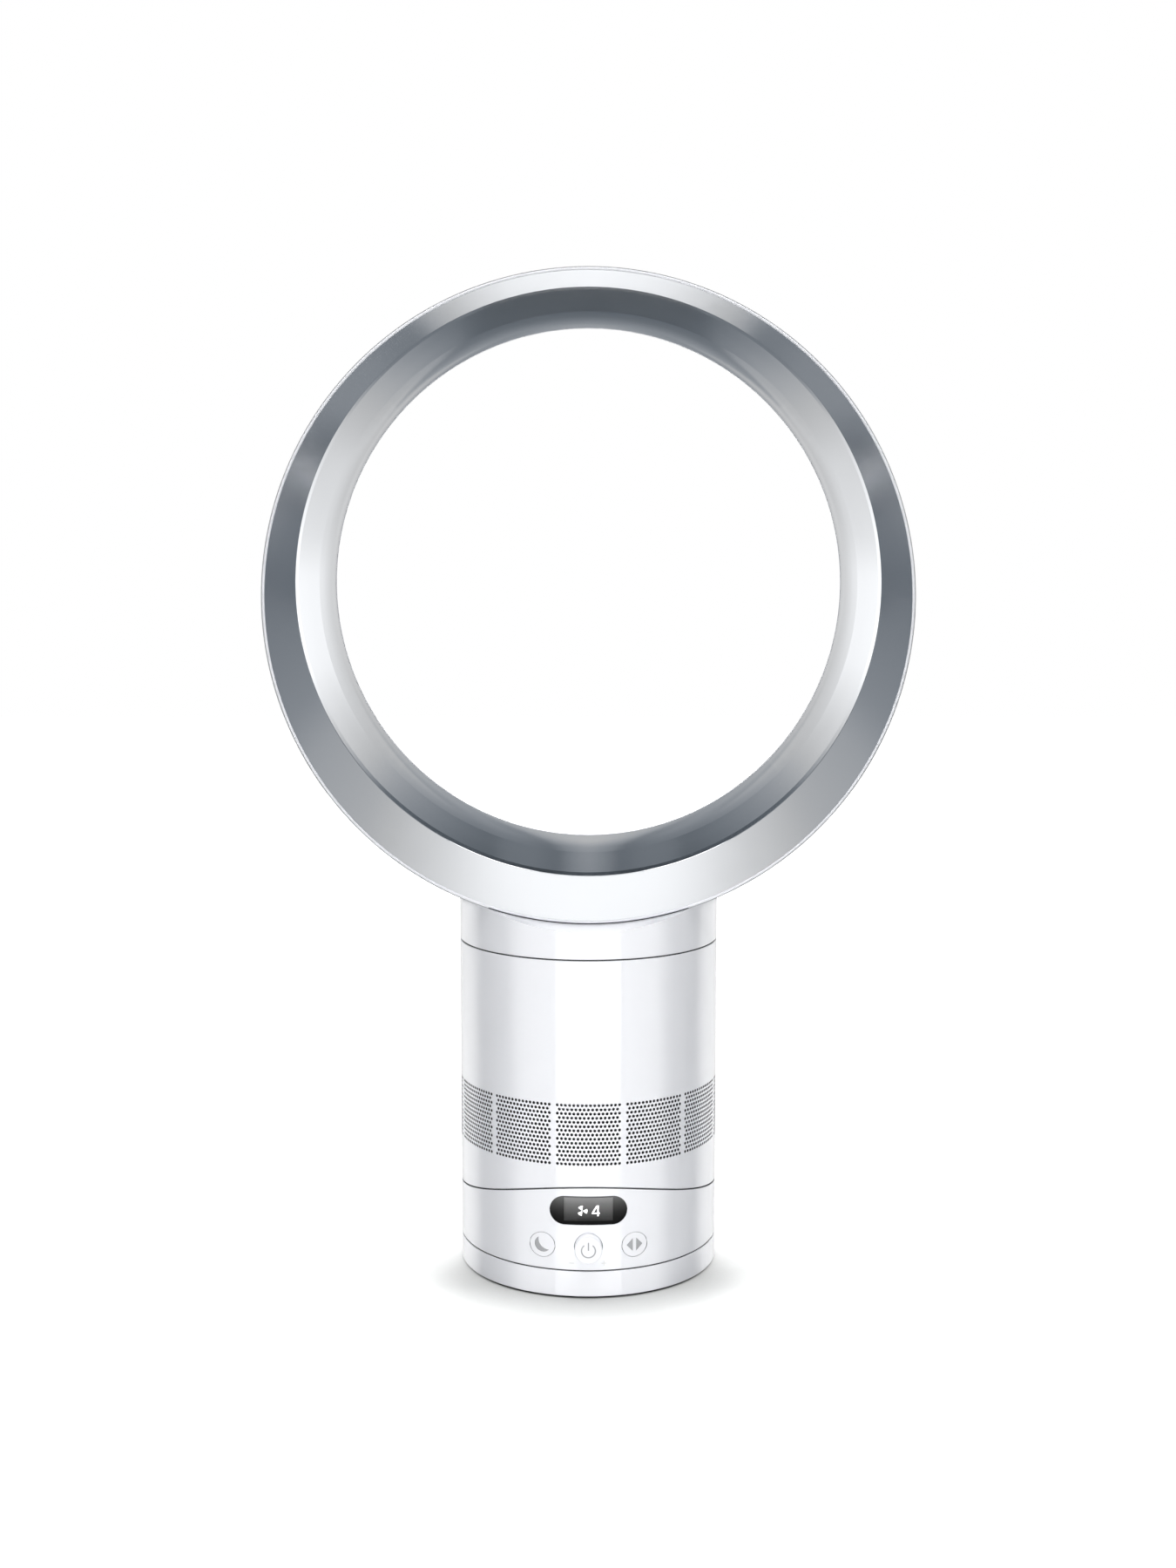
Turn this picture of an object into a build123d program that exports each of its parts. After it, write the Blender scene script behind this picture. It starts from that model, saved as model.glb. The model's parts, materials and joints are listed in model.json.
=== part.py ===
from build123d import *
import os
from math import acos, asin, atan2, cos, degrees, pi, radians, sin, sqrt, tan

# A bladeless desk fan: a round pedestal in three sections with an open air ring on top.
# Millimetres. The floor is z = 0, the pedestal stands on the Z axis and the fan blows towards -Y.

os.makedirs("parts", exist_ok=True)

# Pedestal sections, from the floor up
pedestal_radius = 73.0
pedestal_wall = 2.6
base_height = 15.4  # floor to the swivel seam
control_height = 46.6  # swivel seam to the tilt seam, at the front
tower_height = 124.4  # tilt seam to the collar seam, at the front
collar_height = 15.1  # collar seam to the underside of the ring, in the middle
tilt_radius = 178.3  # of the rocking seam about the tilt axis
tilt_range = 10.0  # degrees each way
seam = 0.8  # open line between two sections
seam_round = 0.4  # rounded edges along the seams

# Clearances
slip = 0.1  # a fixed piece inside the piece that holds it
seat = 0.02  # fixed pieces with a common curved face
running = 0.05  # a shaft in its bearing, on the radius
free_gap = 0.3  # pieces that move past each other

# Air ring
ring_radius = 174.5
ring_offset = 8.0  # the ring's opening is this much higher than its outside
ring_front = 48.3  # front lip ahead of the pedestal's axis
ring_wall = 2.0
rear_round = 8.0
lip_setback = 0.3  # silver edge behind the front lip
lip_edge = 0.25
bevel_depth = 15.7
bevel_wall = 3.0  # measured along the radius
bevel_band = 15.9  # outside of the ring to the crease, along the radius
crease_round = 1.0
flare_band = 13.2  # crease to the narrowest place, along the radius
throat_depth = 82.3  # front lip to the narrowest place
flare_ease = 1.35  # slope of the flared wall at the crease, over its mean slope
nose_radius = 12.0  # curve that the air clings to behind the throat
nose_turn = 100.0  # degrees
lip_turn = 45.0  # degrees from the throat to the end of the rear lip
rib_turn = 60.0  # degrees from the throat to the ribs across the slot
back_turn = 90.0  # degrees from the throat to the flat back
slot_gap = 1.6
slot_ribs = 12
slot_rib_width = 1.6
duct_width = 80.0
duct_length = 60.0
duct_corner = 14.0

# Collar and bayonet
collar_floor = 2.6
saddle_wall = 2.6
bayonet_wall = 4.4  # inside of the pedestal to the spigot
spigot_wall = 2.4
spigot_length = 11.8
lug_count = 3
lug_reach = 2.4
lug_height = 4.0
lug_rise = 1.3  # above the end of the spigot
lug_angle = 18.0
bayonet_twist = 15.0  # degrees from locked to free
bayonet_height = 12.0

# Lower base
foot_height = 1.0
foot_inset = 0.6
foot_margin = 7.0  # outside of the pedestal to the foot
foot_width = 12.0
base_plate_thickness = 2.4
deck = 3.0
column_radius = 10.0
column_bore = 6.0
column_tip = 1.0
base_screw_circle = 36.0
gland_bore = 3.0
gland_wall = 0.8
gland_flange = 1.6
gland_proud = 2.0
gland_length = 6.0

# Swivel and its drive
thrust_width = 10.0
thrust_thickness = 1.2
turntable_plate = 3.0
bush_wall = 2.5
bush_flange = 1.0
bush_flange_width = 2.5
gear_module = 1.0
gear_teeth = 42
pinion_teeth = 14
gear_width = 5.0
pressure_angle = 20.0
addendum = 0.8  # in modules
dedendum = 1.2  # in modules
backlash = 0.2
clip_thickness = 0.8
clip_depth = 1.0
clip_width = 3.0
clip_opening = 7.0
spindle_radius = 2.5
spindle_grip = 4.0
motor_can_radius = 18.0
motor_can_height = 8.0
motor_can_shift = 8.0  # the spindle stands off the can's middle
motor_ear_spacing = 44.0
motor_ear_thickness = 1.5

# Screws and their bosses
screw_radius = 1.4
screw_head_radius = 2.7
screw_head = 1.6
screw_grip = 5.0
boss_radius = 4.0
boss_inset = 8.4  # boss centres inside the pedestal's wall
boss_height = 12.0
boss_count = 4
boss_angle = 45.0  # degrees, of the first boss

# Control panel
panel_rise = 13.5  # knob and buttons above the swivel seam
display_drop = 12.9  # display below the tilt seam
display_width = 41.8
display_height = 15.7
display_gap = 0.15
window_ear = 2.0
window_ear_height = 8.0
screen_width = 25.8
screen_height = 12.2
screen_thickness = 1.6
screen_setback = 6.4
button_radius = 6.7
button_spacing = 25.0  # each side of the knob
button_travel = 0.8
button_flange = 1.4
button_flange_thickness = 1.2
button_stem_radius = 2.0
button_stem = 0.6
switch_size = 6.0
switch_depth = 2.9
knob_radius = 7.5
knob_proud = 6.0
knob_skirt = 5.0
knob_round = 1.0
knob_travel = 1.2
knob_roof = 3.6
dial_shaft_radius = 3.0
encoder_size = 12.0
encoder_depth = 6.0
encoder_bush = 4.0
encoder_bush_radius = 4.5
board_thickness = 1.6
board_margin = 5.0
housing_plate = 3.0
holder_height = 8.0

# Tilt guide
guide_width = 28.0
guide_length = 22.0
guide_head_width = 44.0
guide_head = 4.0
guide_bore = 4.0
guide_screw_spacing = 18.0
glide_thickness = 0.5
glide_width = 8.0
glide_length = 60.0
glide_spacing = 88.0
floor_plate = 3.0

# Perforated air inlet
grille_rise = 13.0  # lowest row above the tilt seam
grille_margin = 3.4  # highest row below the ledge's top
grille_panels = 12
grille_panel_angle = 24.8  # degrees from first to last column
grille_rows = 5
grille_columns = 5
grille_hole = 2.2

# Blower, stacked on a ledge in the tower
ledge_drop = 75.4  # collar seam to the ledge
ledge_width = 5.0
ledge_thickness = 2.5
seal_thickness = 2.0
inlet_radius = 36.0
inlet_bell = 9.0
inlet_neck = 2.0
outlet_radius = 50.0
shroud_height = 19.0
duct_height = 27.0
shroud_wall = 2.5
impeller_blades = 9
blade_thickness = 1.4
blade_sweep = 48.0  # degrees
blade_gap = 0.8
hub_nose = 9.0
hub_radius = 34.0
hub_rise = 6.0
hub_height = 25.0
hub_wall = 2.5
hub_bulge = 2.0
hub_boss_radius = 7.0
hub_boss_height = 20.0
bucket_clearance = 1.5
bucket_wall = 2.0
bucket_floor = 2.5
bucket_height = 27.5
cap_height = 6.0
cap_rim = 1.5
vane_count = 11
vane_thickness = 1.4
vane_height = 18.0
vane_ring = 1.5
vane_sweep = 20.0  # degrees
motor_shaft_radius = 3.0
bearing_radius = 8.0
bearing_width = 5.0
bearing_groove = 1.0
bearing_wall = 2.0
stator_height = 10.0
stator_bore = 13.0
stator_ledge = 3.0
stator_teeth = 6
stator_slot_radius = 4.5
magnet_gap = 0.4
motor_board_width = 70.0
motor_board_length = 46.0
motor_board_gap = 3.0
motor_board_post = 2.5
gasket_thickness = 2.0

# Heights and radii that follow
inner_radius = pedestal_radius - pedestal_wall
insert_radius = inner_radius - slip
boss_circle = inner_radius - boss_inset
spigot_radius = inner_radius - bayonet_wall
foot_outer = pedestal_radius - foot_margin
thrust_outer = boss_circle - 2 * boss_radius
drum_width = 2 * pedestal_radius
tall = 4 * pedestal_radius
base_top = base_height - seam / 2
control_bottom = base_height + seam / 2
tilt_seam_z = base_height + control_height
tilt_axis_z = tilt_seam_z + sqrt(tilt_radius**2 - pedestal_radius**2)
saddle_radius = tilt_radius + seam / 2
rocker_radius = tilt_radius - seam / 2
collar_seam_z = tilt_seam_z + tower_height
tower_top = collar_seam_z - seam / 2
collar_bottom = collar_seam_z + seam / 2
ring_z = collar_seam_z + collar_height + ring_radius
opening_z = ring_z + ring_offset
crease_radius = ring_radius - bevel_band
throat_radius = crease_radius - flare_band

base_plate_top = foot_height + base_plate_thickness
deck_bottom = base_top - deck
turntable_bottom = base_top + thrust_thickness
turntable_top = turntable_bottom + turntable_plate
gear_bottom = turntable_top + bush_flange + free_gap
gear_top = gear_bottom + gear_width
clip_top = gear_top + clip_thickness
column_top = clip_top + column_tip
motor_bottom = column_top + free_gap
pinion_y = gear_module * (gear_teeth + pinion_teeth) / 2
motor_y = pinion_y + motor_can_shift

# Planes, sweeping axes and alignments
tilt_plane = Plane(origin=(0, 0, tilt_axis_z), x_dir=(0, 1, 0), z_dir=(1, 0, 0))
ring_plane = Plane(origin=(0, 0, ring_z), x_dir=(0, 1, 0), z_dir=(1, 0, 0))
opening_plane = Plane(origin=(0, 0, opening_z), x_dir=(0, 1, 0), z_dir=(1, 0, 0))
ring_axis = Axis((0, 0, ring_z), (0, 1, 0))
opening_axis = Axis((0, 0, opening_z), (0, 1, 0))
UPWARD = (Align.CENTER, Align.CENTER, Align.MIN)
DOWNWARD = (Align.CENTER, Align.CENTER, Align.MAX)
ALONG_X = (0, 90, 0)
ALONG_Y = (90, 0, 0)


def front_plane(y):
    """An upright plane at a depth, drawn as seen from the front and facing the front."""
    return Plane(origin=(0, y, 0), x_dir=(1, 0, 0), z_dir=(0, -1, 0))


def bent_z(radius, y):
    """Height of a surface bent about the tilt axis, at a depth."""
    return tilt_axis_z - sqrt(radius**2 - y**2)


def bent_plate(inner, outer, width, length):
    """A plate bent about the tilt axis between two radii and below it, cut to a width and a length."""
    with BuildPart() as plate:
        with BuildSketch(tilt_plane):
            Circle(outer)
            Circle(inner, mode=Mode.SUBTRACT)
            with Locations((0, -outer / 2)):
                Rectangle(length, outer, mode=Mode.INTERSECT)
        extrude(amount=width / 2, both=True)
    return plate.part


def tube(outer, inner, bottom, top):
    """An upright tube added to the part at hand."""
    with Locations((0, 0, bottom)):
        Cylinder(outer, top - bottom, align=UPWARD)
        Cylinder(inner, top - bottom, align=UPWARD, mode=Mode.SUBTRACT)


def screw(length):
    """A pan-head screw whose head sits under the location and whose shank points up."""
    Cylinder(screw_radius, length, align=UPWARD)
    Cylinder(screw_head_radius, screw_head, align=DOWNWARD)


def screw_hole(length, head_room):
    """Clearance for such a screw, with a pocket for its head."""
    Cylinder(screw_radius + slip, length, align=UPWARD, mode=Mode.SUBTRACT)
    Cylinder(screw_head_radius + slip, head_room, align=DOWNWARD, mode=Mode.SUBTRACT)


def rounded(part, radius, height):
    """The circular edges of a part at a radius and a height, where a seam is rounded."""
    circles = part.edges().filter_by(GeomType.CIRCLE)
    at_height = circles.filter_by(lambda edge: abs(edge.center().Z - height) < slip)
    return at_height.filter_by(lambda edge: abs(edge.radius - radius) < slip)


def gear_outline(teeth, first_tooth):
    """An involute spur gear's face, each flank an arc through three points of its involute."""
    pitch = gear_module * teeth / 2
    base = pitch * cos(radians(pressure_angle))
    tip = pitch + addendum * gear_module
    root = pitch - dedendum * gear_module
    half_tooth = pi / (2 * teeth) - backlash / (4 * pitch)
    half_base = half_tooth + tan(radians(pressure_angle)) - radians(pressure_angle)
    start = max(base, root)

    def flank(radius, side, middle):
        """A point of one side of a tooth, at a radius, straight inward below the base circle."""
        roll = acos(min(1, base / radius))
        angle = middle + side * (half_base - tan(roll) + roll)
        return (radius * cos(angle), radius * sin(angle))

    with BuildSketch() as face:
        with BuildLine():
            for tooth in range(teeth):
                middle = radians(first_tooth) + 2 * pi * tooth / teeth
                following = middle + 2 * pi / teeth
                rising = [flank(radius, -1, middle) for radius in (start, (start + tip) / 2, tip)]
                falling = [flank(radius, 1, middle) for radius in (tip, (start + tip) / 2, start)]
                if root < start:
                    Line(flank(root, -1, middle), rising[0])
                    Line(falling[-1], flank(root, 1, middle))
                ThreePointArc(*rising)
                Line(rising[-1], falling[0])
                ThreePointArc(*falling)
                Line(flank(root, 1, middle), flank(root, -1, following))
        make_face()
    return face.sketch


def finish(part, name):
    """Name a finished piece and write it."""
    part.label = name
    export_step(part, f"parts/{name}.step")


# Lower base: a shallow shell with a hollow column that carries the swivel
gland_z = (base_plate_top + deck_bottom) / 2
gland_radius = gland_bore + gland_wall
with BuildPart() as lower_base:
    with BuildSketch(Plane.XZ):
        with BuildLine():
            Polyline(
                (column_bore, deck_bottom),
                (column_bore, column_top),
                (column_radius, column_top),
                (column_radius, base_top),
                (pedestal_radius, base_top),
                (pedestal_radius, foot_height),
                (inner_radius, foot_height),
                (inner_radius, deck_bottom),
                close=True,
            )
        make_face()
    revolve(axis=Axis.Z)
    fillet(rounded(lower_base, pedestal_radius, base_top), seam_round)
    fillet(rounded(lower_base, pedestal_radius, foot_height), seam_round)
    with BuildSketch(Plane.XY.offset(gear_top)):
        Circle(column_radius)
        Circle(column_radius - clip_depth, mode=Mode.SUBTRACT)
    extrude(amount=clip_thickness, mode=Mode.SUBTRACT)
    with BuildSketch(Plane.XY.offset(base_plate_top)):
        with PolarLocations(base_screw_circle, boss_count, start_angle=boss_angle):
            Circle(boss_radius)
    extrude(amount=deck_bottom - base_plate_top)
    with BuildSketch(Plane.XY.offset(base_plate_top)):
        with PolarLocations(base_screw_circle, boss_count, start_angle=boss_angle):
            Circle(screw_radius + slip)
    extrude(amount=screw_grip + slip, mode=Mode.SUBTRACT)
    with Locations((0, inner_radius, gland_z)):
        Cylinder(gland_radius + seat, 4 * pedestal_wall, rotation=ALONG_Y, mode=Mode.SUBTRACT)
finish(lower_base.part, "lower_base")

# Base plate: closes the underside and holds the rubber foot
base_screw_seat = foot_height + screw_head + slip
with BuildPart() as base_plate:
    with Locations((0, 0, foot_height)):
        Cylinder(insert_radius, base_plate_thickness, align=UPWARD)
    with BuildSketch(Plane.XY.offset(foot_height)):
        Circle(foot_outer + slip)
        Circle(foot_outer - foot_width - slip, mode=Mode.SUBTRACT)
    extrude(amount=foot_inset, mode=Mode.SUBTRACT)
    with Locations((0, 0, base_screw_seat)):
        with PolarLocations(base_screw_circle, boss_count, start_angle=boss_angle):
            screw_hole(base_plate_thickness, screw_head + slip)
finish(base_plate.part, "base_plate")

with BuildPart() as base_screws:
    with Locations((0, 0, base_screw_seat)):
        with PolarLocations(base_screw_circle, boss_count, start_angle=boss_angle):
            screw(base_plate_top - base_screw_seat + screw_grip)
finish(base_screws.part, "base_screws")

with BuildPart() as foot_ring:
    tube(foot_outer, foot_outer - foot_width, 0, foot_height + foot_inset)
finish(foot_ring.part, "foot_ring")

# Cable gland: a bush in the back of the lower base, where the mains lead comes out
with BuildPart() as cable_gland:
    with Locations((0, pedestal_radius + gland_proud, gland_z)):
        Cylinder(gland_radius + gland_flange, 2 * gland_proud, rotation=ALONG_Y)
        split(bisect_by=Plane.XZ.offset(-pedestal_radius - gland_proud), keep=Keep.TOP)
    Cylinder(pedestal_radius + seat, tall, mode=Mode.SUBTRACT)
    with BuildSketch(front_plane(pedestal_radius + gland_proud)):
        with Locations((0, gland_z)):
            Circle(gland_radius)
    extrude(amount=gland_proud + pedestal_wall + gland_length)
    with BuildSketch(front_plane(pedestal_radius + gland_proud)):
        with Locations((0, gland_z)):
            Circle(gland_bore)
    extrude(amount=gland_proud + pedestal_wall + gland_length, mode=Mode.SUBTRACT)
finish(cable_gland.part, "cable_gland")

# Swivel: thrust ring, bush, fixed gear and the clip that holds the stack on the column
with BuildPart() as thrust_ring:
    tube(thrust_outer, thrust_outer - thrust_width, base_top, turntable_bottom)
finish(thrust_ring.part, "thrust_ring")

bush_radius = column_radius + running + bush_wall
with BuildPart() as swivel_bush:
    with Locations((0, 0, turntable_bottom)):
        Cylinder(bush_radius, turntable_plate, align=UPWARD)
    with Locations((0, 0, turntable_top)):
        Cylinder(bush_radius + bush_flange_width, bush_flange, align=UPWARD)
    Cylinder(column_radius + running, tall, mode=Mode.SUBTRACT)
finish(swivel_bush.part, "swivel_bush")

with BuildPart() as fixed_gear:
    with BuildSketch(Plane.XY.offset(gear_bottom)):
        add(gear_outline(gear_teeth, 90))
        Circle(column_radius + seat, mode=Mode.SUBTRACT)
    extrude(amount=gear_width)
finish(fixed_gear.part, "fixed_gear")

with BuildPart() as gear_clip:
    with BuildSketch(Plane.XY.offset(gear_top)):
        Circle(column_radius + clip_width)
        Circle(column_radius - clip_depth + seat, mode=Mode.SUBTRACT)
        with Locations((0, -column_radius)):
            Rectangle(clip_opening, 2 * column_radius, mode=Mode.SUBTRACT)
    extrude(amount=clip_thickness)
finish(gear_clip.part, "gear_clip")

# Turntable: closes the control section's underside and carries the swing motor on two posts
turntable_screw_seat = turntable_bottom + screw_head + slip
with BuildPart() as turntable:
    with Locations((0, 0, turntable_bottom)):
        Cylinder(insert_radius, turntable_plate, align=UPWARD)
    with BuildSketch(Plane.XY.offset(turntable_top)):
        with Locations((-motor_ear_spacing / 2, motor_y), (motor_ear_spacing / 2, motor_y)):
            Circle(boss_radius)
    extrude(amount=motor_bottom - turntable_top)
    with BuildSketch(Plane.XY.offset(motor_bottom)):
        with Locations((-motor_ear_spacing / 2, motor_y), (motor_ear_spacing / 2, motor_y)):
            Circle(screw_radius + slip)
    extrude(amount=-screw_grip - slip, mode=Mode.SUBTRACT)
    Cylinder(bush_radius + seat, tall, mode=Mode.SUBTRACT)
    with Locations((0, 0, turntable_screw_seat)):
        with PolarLocations(boss_circle, boss_count, start_angle=boss_angle):
            screw_hole(turntable_plate, screw_head + slip)
finish(turntable.part, "turntable")

with BuildPart() as turntable_screws:
    with Locations((0, 0, turntable_screw_seat)):
        with PolarLocations(boss_circle, boss_count, start_angle=boss_angle):
            screw(turntable_top - turntable_screw_seat + screw_grip)
finish(turntable_screws.part, "turntable_screws")

# Swing motor: a flat geared can with two ears, its spindle hanging down to the pinion
with BuildPart() as swing_motor:
    with Locations((0, motor_y, motor_bottom)):
        Cylinder(motor_can_radius, motor_can_height, align=UPWARD)
    fillet(swing_motor.faces().sort_by(Axis.Z)[-1].edges(), motor_ear_thickness)
    with BuildSketch(Plane.XY.offset(motor_bottom)):
        with Locations((0, motor_y)):
            SlotCenterToCenter(motor_ear_spacing, 2 * boss_radius)
    extrude(amount=motor_ear_thickness)
    with BuildSketch(Plane.XY.offset(motor_bottom)):
        with Locations((-motor_ear_spacing / 2, motor_y), (motor_ear_spacing / 2, motor_y)):
            Circle(screw_radius + slip)
    extrude(amount=motor_ear_thickness, mode=Mode.SUBTRACT)
    with BuildSketch(Plane.XY.offset(motor_bottom)):
        with Locations((0, pinion_y)):
            Circle(spindle_radius + running)
    extrude(amount=spindle_grip + free_gap, mode=Mode.SUBTRACT)
finish(swing_motor.part, "swing_motor")

with BuildPart() as swing_motor_screws:
    with Locations(
        Location((-motor_ear_spacing / 2, motor_y, motor_bottom + motor_ear_thickness), (180, 0, 0)),
        Location((motor_ear_spacing / 2, motor_y, motor_bottom + motor_ear_thickness), (180, 0, 0)),
    ):
        screw(motor_ear_thickness + screw_grip)
finish(swing_motor_screws.part, "swing_motor_screws")

with BuildPart() as drive_pinion:
    with BuildSketch(Plane.XY.offset(gear_bottom)):
        with Locations((0, pinion_y)):
            add(gear_outline(pinion_teeth, -90 + 180 / pinion_teeth))
    extrude(amount=gear_width)
    with Locations((0, pinion_y, gear_top)):
        Cylinder(spindle_radius, motor_bottom + spindle_grip - gear_top, align=UPWARD)
finish(drive_pinion.part, "drive_pinion")

# Control panel: openings seen from the front, all cut straight back
panel_z = base_height + panel_rise
display_z = tilt_seam_z - display_drop
button_hole = button_radius + free_gap
knob_hole = knob_radius + free_gap
flange_radius = button_radius + button_flange
flange_y = free_gap - sqrt(inner_radius**2 - (button_spacing + flange_radius) ** 2)
stem_y = flange_y + button_flange_thickness + button_stem
switch_y = stem_y + button_travel + free_gap
board_y = switch_y + switch_depth
wall_y = -sqrt(inner_radius**2 - (button_spacing + button_hole) ** 2)
screen_y = screen_setback - pedestal_radius

# Control housing: a drum whose top is hollowed to the rocking radius
housing_underside = saddle_radius + housing_plate
with BuildPart() as housing_top:
    add(bent_plate(saddle_radius - housing_plate, housing_underside, drum_width, drum_width))
    Cylinder(inner_radius + pedestal_wall / 2, 2 * tilt_axis_z, mode=Mode.INTERSECT)

with BuildPart() as control_housing:
    tube(pedestal_radius, inner_radius, control_bottom, tilt_axis_z)
    fillet(rounded(control_housing, pedestal_radius, control_bottom), seam_round)
    with BuildSketch(Plane.XY.offset(turntable_top)):
        with PolarLocations(boss_circle, boss_count, start_angle=boss_angle):
            Circle(boss_radius)
    extrude(amount=control_height)
    add(housing_top.part)
    with Locations((0, 0, tilt_axis_z)):
        Cylinder(saddle_radius, tall, rotation=ALONG_X, mode=Mode.SUBTRACT)
    with BuildSketch(Plane.XY.offset(turntable_top)):
        with PolarLocations(boss_circle, boss_count, start_angle=boss_angle):
            Circle(screw_radius + slip)
    extrude(amount=screw_grip + slip, mode=Mode.SUBTRACT)
    with BuildSketch(front_plane(wall_y)):
        with Locations((0, display_z)):
            SlotOverall(display_width + 2 * display_gap, display_height + 2 * display_gap)
        with Locations((0, panel_z)):
            Circle(knob_hole)
        with Locations((-button_spacing, panel_z), (button_spacing, panel_z)):
            Circle(button_hole)
    extrude(amount=pedestal_radius, mode=Mode.SUBTRACT)
    Cylinder(guide_bore, 2 * tilt_axis_z, mode=Mode.SUBTRACT)
    with Locations((-guide_screw_spacing / 2, 0), (guide_screw_spacing / 2, 0)):
        Cylinder(screw_radius + slip, 2 * tilt_axis_z, mode=Mode.SUBTRACT)
finish(control_housing.part, "control_housing")

# Display: a black pill of a window, a screen behind it and the block that holds the screen
with BuildPart() as display_window:
    tube(pedestal_radius, inner_radius, control_bottom, tilt_seam_z)
    with BuildSketch(front_plane(0)):
        with Locations((0, display_z)):
            SlotOverall(display_width, display_height)
    extrude(amount=2 * pedestal_radius, mode=Mode.INTERSECT)
    ear_y = -sqrt(insert_radius**2 - (display_width / 2 + window_ear) ** 2)
    with BuildSketch(front_plane(ear_y + pedestal_wall)):
        with Locations((0, display_z)):
            Rectangle(display_width + 2 * window_ear, window_ear_height)
            Rectangle(display_width - 4 * window_ear, window_ear_height, mode=Mode.SUBTRACT)
    extrude(amount=pedestal_wall)
    with BuildSketch(front_plane(ear_y)):
        with Locations((0, display_z)):
            Rectangle(display_width - window_ear, window_ear_height)
            Rectangle(display_width - 4 * window_ear, window_ear_height, mode=Mode.SUBTRACT)
    extrude(amount=pedestal_wall)
    Cylinder(pedestal_radius, 2 * tilt_seam_z, mode=Mode.INTERSECT)
finish(display_window.part, "display_window")

screen_back = screen_y + screen_thickness
with BuildPart() as display_panel:
    with BuildSketch(front_plane(screen_back)):
        with Locations((0, display_z)):
            RectangleRounded(screen_width, screen_height, screen_thickness / 2)
    extrude(amount=screen_thickness)
finish(display_panel.part, "display_panel")

board_back = board_y + board_thickness
board_width = 2 * (sqrt(inner_radius**2 - board_y**2) - board_margin)
board_top = bent_z(housing_underside, board_back) - free_gap
holder_z = min(display_z, board_top - holder_height / 2)
with BuildPart() as display_holder:
    with BuildSketch(front_plane(board_y)):
        with Locations((0, holder_z)):
            Rectangle(screen_width, holder_height)
            Rectangle(screen_width - 2 * pedestal_wall, holder_height - 2 * pedestal_wall, mode=Mode.SUBTRACT)
    extrude(amount=board_y - screen_back)
finish(display_holder.part, "display_holder")

with BuildPart() as control_board:
    with BuildSketch(front_plane(board_back)):
        with Locations((0, (turntable_top + board_top) / 2)):
            Rectangle(board_width, board_top - turntable_top)
    extrude(amount=board_thickness)
finish(control_board.part, "control_board")

with BuildPart() as tact_switches:
    with BuildSketch(front_plane(board_y)):
        with Locations((-button_spacing, panel_z), (button_spacing, panel_z)):
            Rectangle(switch_size, switch_size)
    extrude(amount=switch_depth / 2)
    with BuildSketch(front_plane(board_y)):
        with Locations((-button_spacing, panel_z), (button_spacing, panel_z)):
            Circle(button_stem_radius)
    extrude(amount=switch_depth)
finish(tact_switches.part, "tact_switches")

# Buttons: round caps cut to the pedestal's curve, each with a flange behind the wall
for button_name, side in (("sleep_button", -1), ("swing_button", 1)):
    with BuildPart() as button:
        with BuildSketch(front_plane(flange_y)):
            with Locations((side * button_spacing, panel_z)):
                Circle(button_radius)
        extrude(amount=pedestal_radius)
        Cylinder(pedestal_radius, 2 * tilt_axis_z, mode=Mode.INTERSECT)
        with BuildSketch(front_plane(flange_y + button_flange_thickness)):
            with Locations((side * button_spacing, panel_z)):
                Circle(flange_radius)
        extrude(amount=button_flange_thickness)
        with BuildSketch(front_plane(stem_y)):
            with Locations((side * button_spacing, panel_z)):
                Circle(button_stem_radius)
        extrude(amount=button_stem)
    finish(button.part, button_name)

# Power knob: turns on the encoder's shaft and is pushed in along it
knob_face = -pedestal_radius - knob_proud
knob_back = -pedestal_radius + knob_skirt
encoder_face = board_y - encoder_depth
shaft_tip = knob_face + knob_roof + knob_travel + free_gap
with BuildPart() as power_knob:
    with BuildSketch(front_plane(knob_back)):
        with Locations((0, panel_z)):
            Circle(knob_radius)
    extrude(amount=knob_back - knob_face)
    fillet(power_knob.faces().sort_by(Axis.Y)[0].edges(), knob_round)
    with BuildSketch(front_plane(knob_back)):
        with Locations((0, panel_z)):
            Circle(dial_shaft_radius + running)
    extrude(amount=knob_back - knob_face - knob_roof, mode=Mode.SUBTRACT)
finish(power_knob.part, "power_knob")

with BuildPart() as dial_shaft:
    with BuildSketch(front_plane(board_y - free_gap)):
        with Locations((0, panel_z)):
            Circle(dial_shaft_radius)
    extrude(amount=board_y - free_gap - shaft_tip)
finish(dial_shaft.part, "dial_shaft")

bush_face = max(encoder_face - encoder_bush, knob_back + knob_travel + free_gap)
with BuildPart() as encoder_body:
    with BuildSketch(front_plane(board_y)):
        with Locations((0, panel_z)):
            RectangleRounded(encoder_size, encoder_size, free_gap)
    extrude(amount=encoder_depth)
    with BuildSketch(front_plane(encoder_face)):
        with Locations((0, panel_z)):
            Circle(encoder_bush_radius)
    extrude(amount=encoder_face - bush_face)
    with BuildSketch(front_plane(board_y)):
        with Locations((0, panel_z)):
            Circle(dial_shaft_radius + running)
    extrude(amount=board_y - bush_face, mode=Mode.SUBTRACT)
finish(encoder_body.part, "encoder_body")

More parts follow.
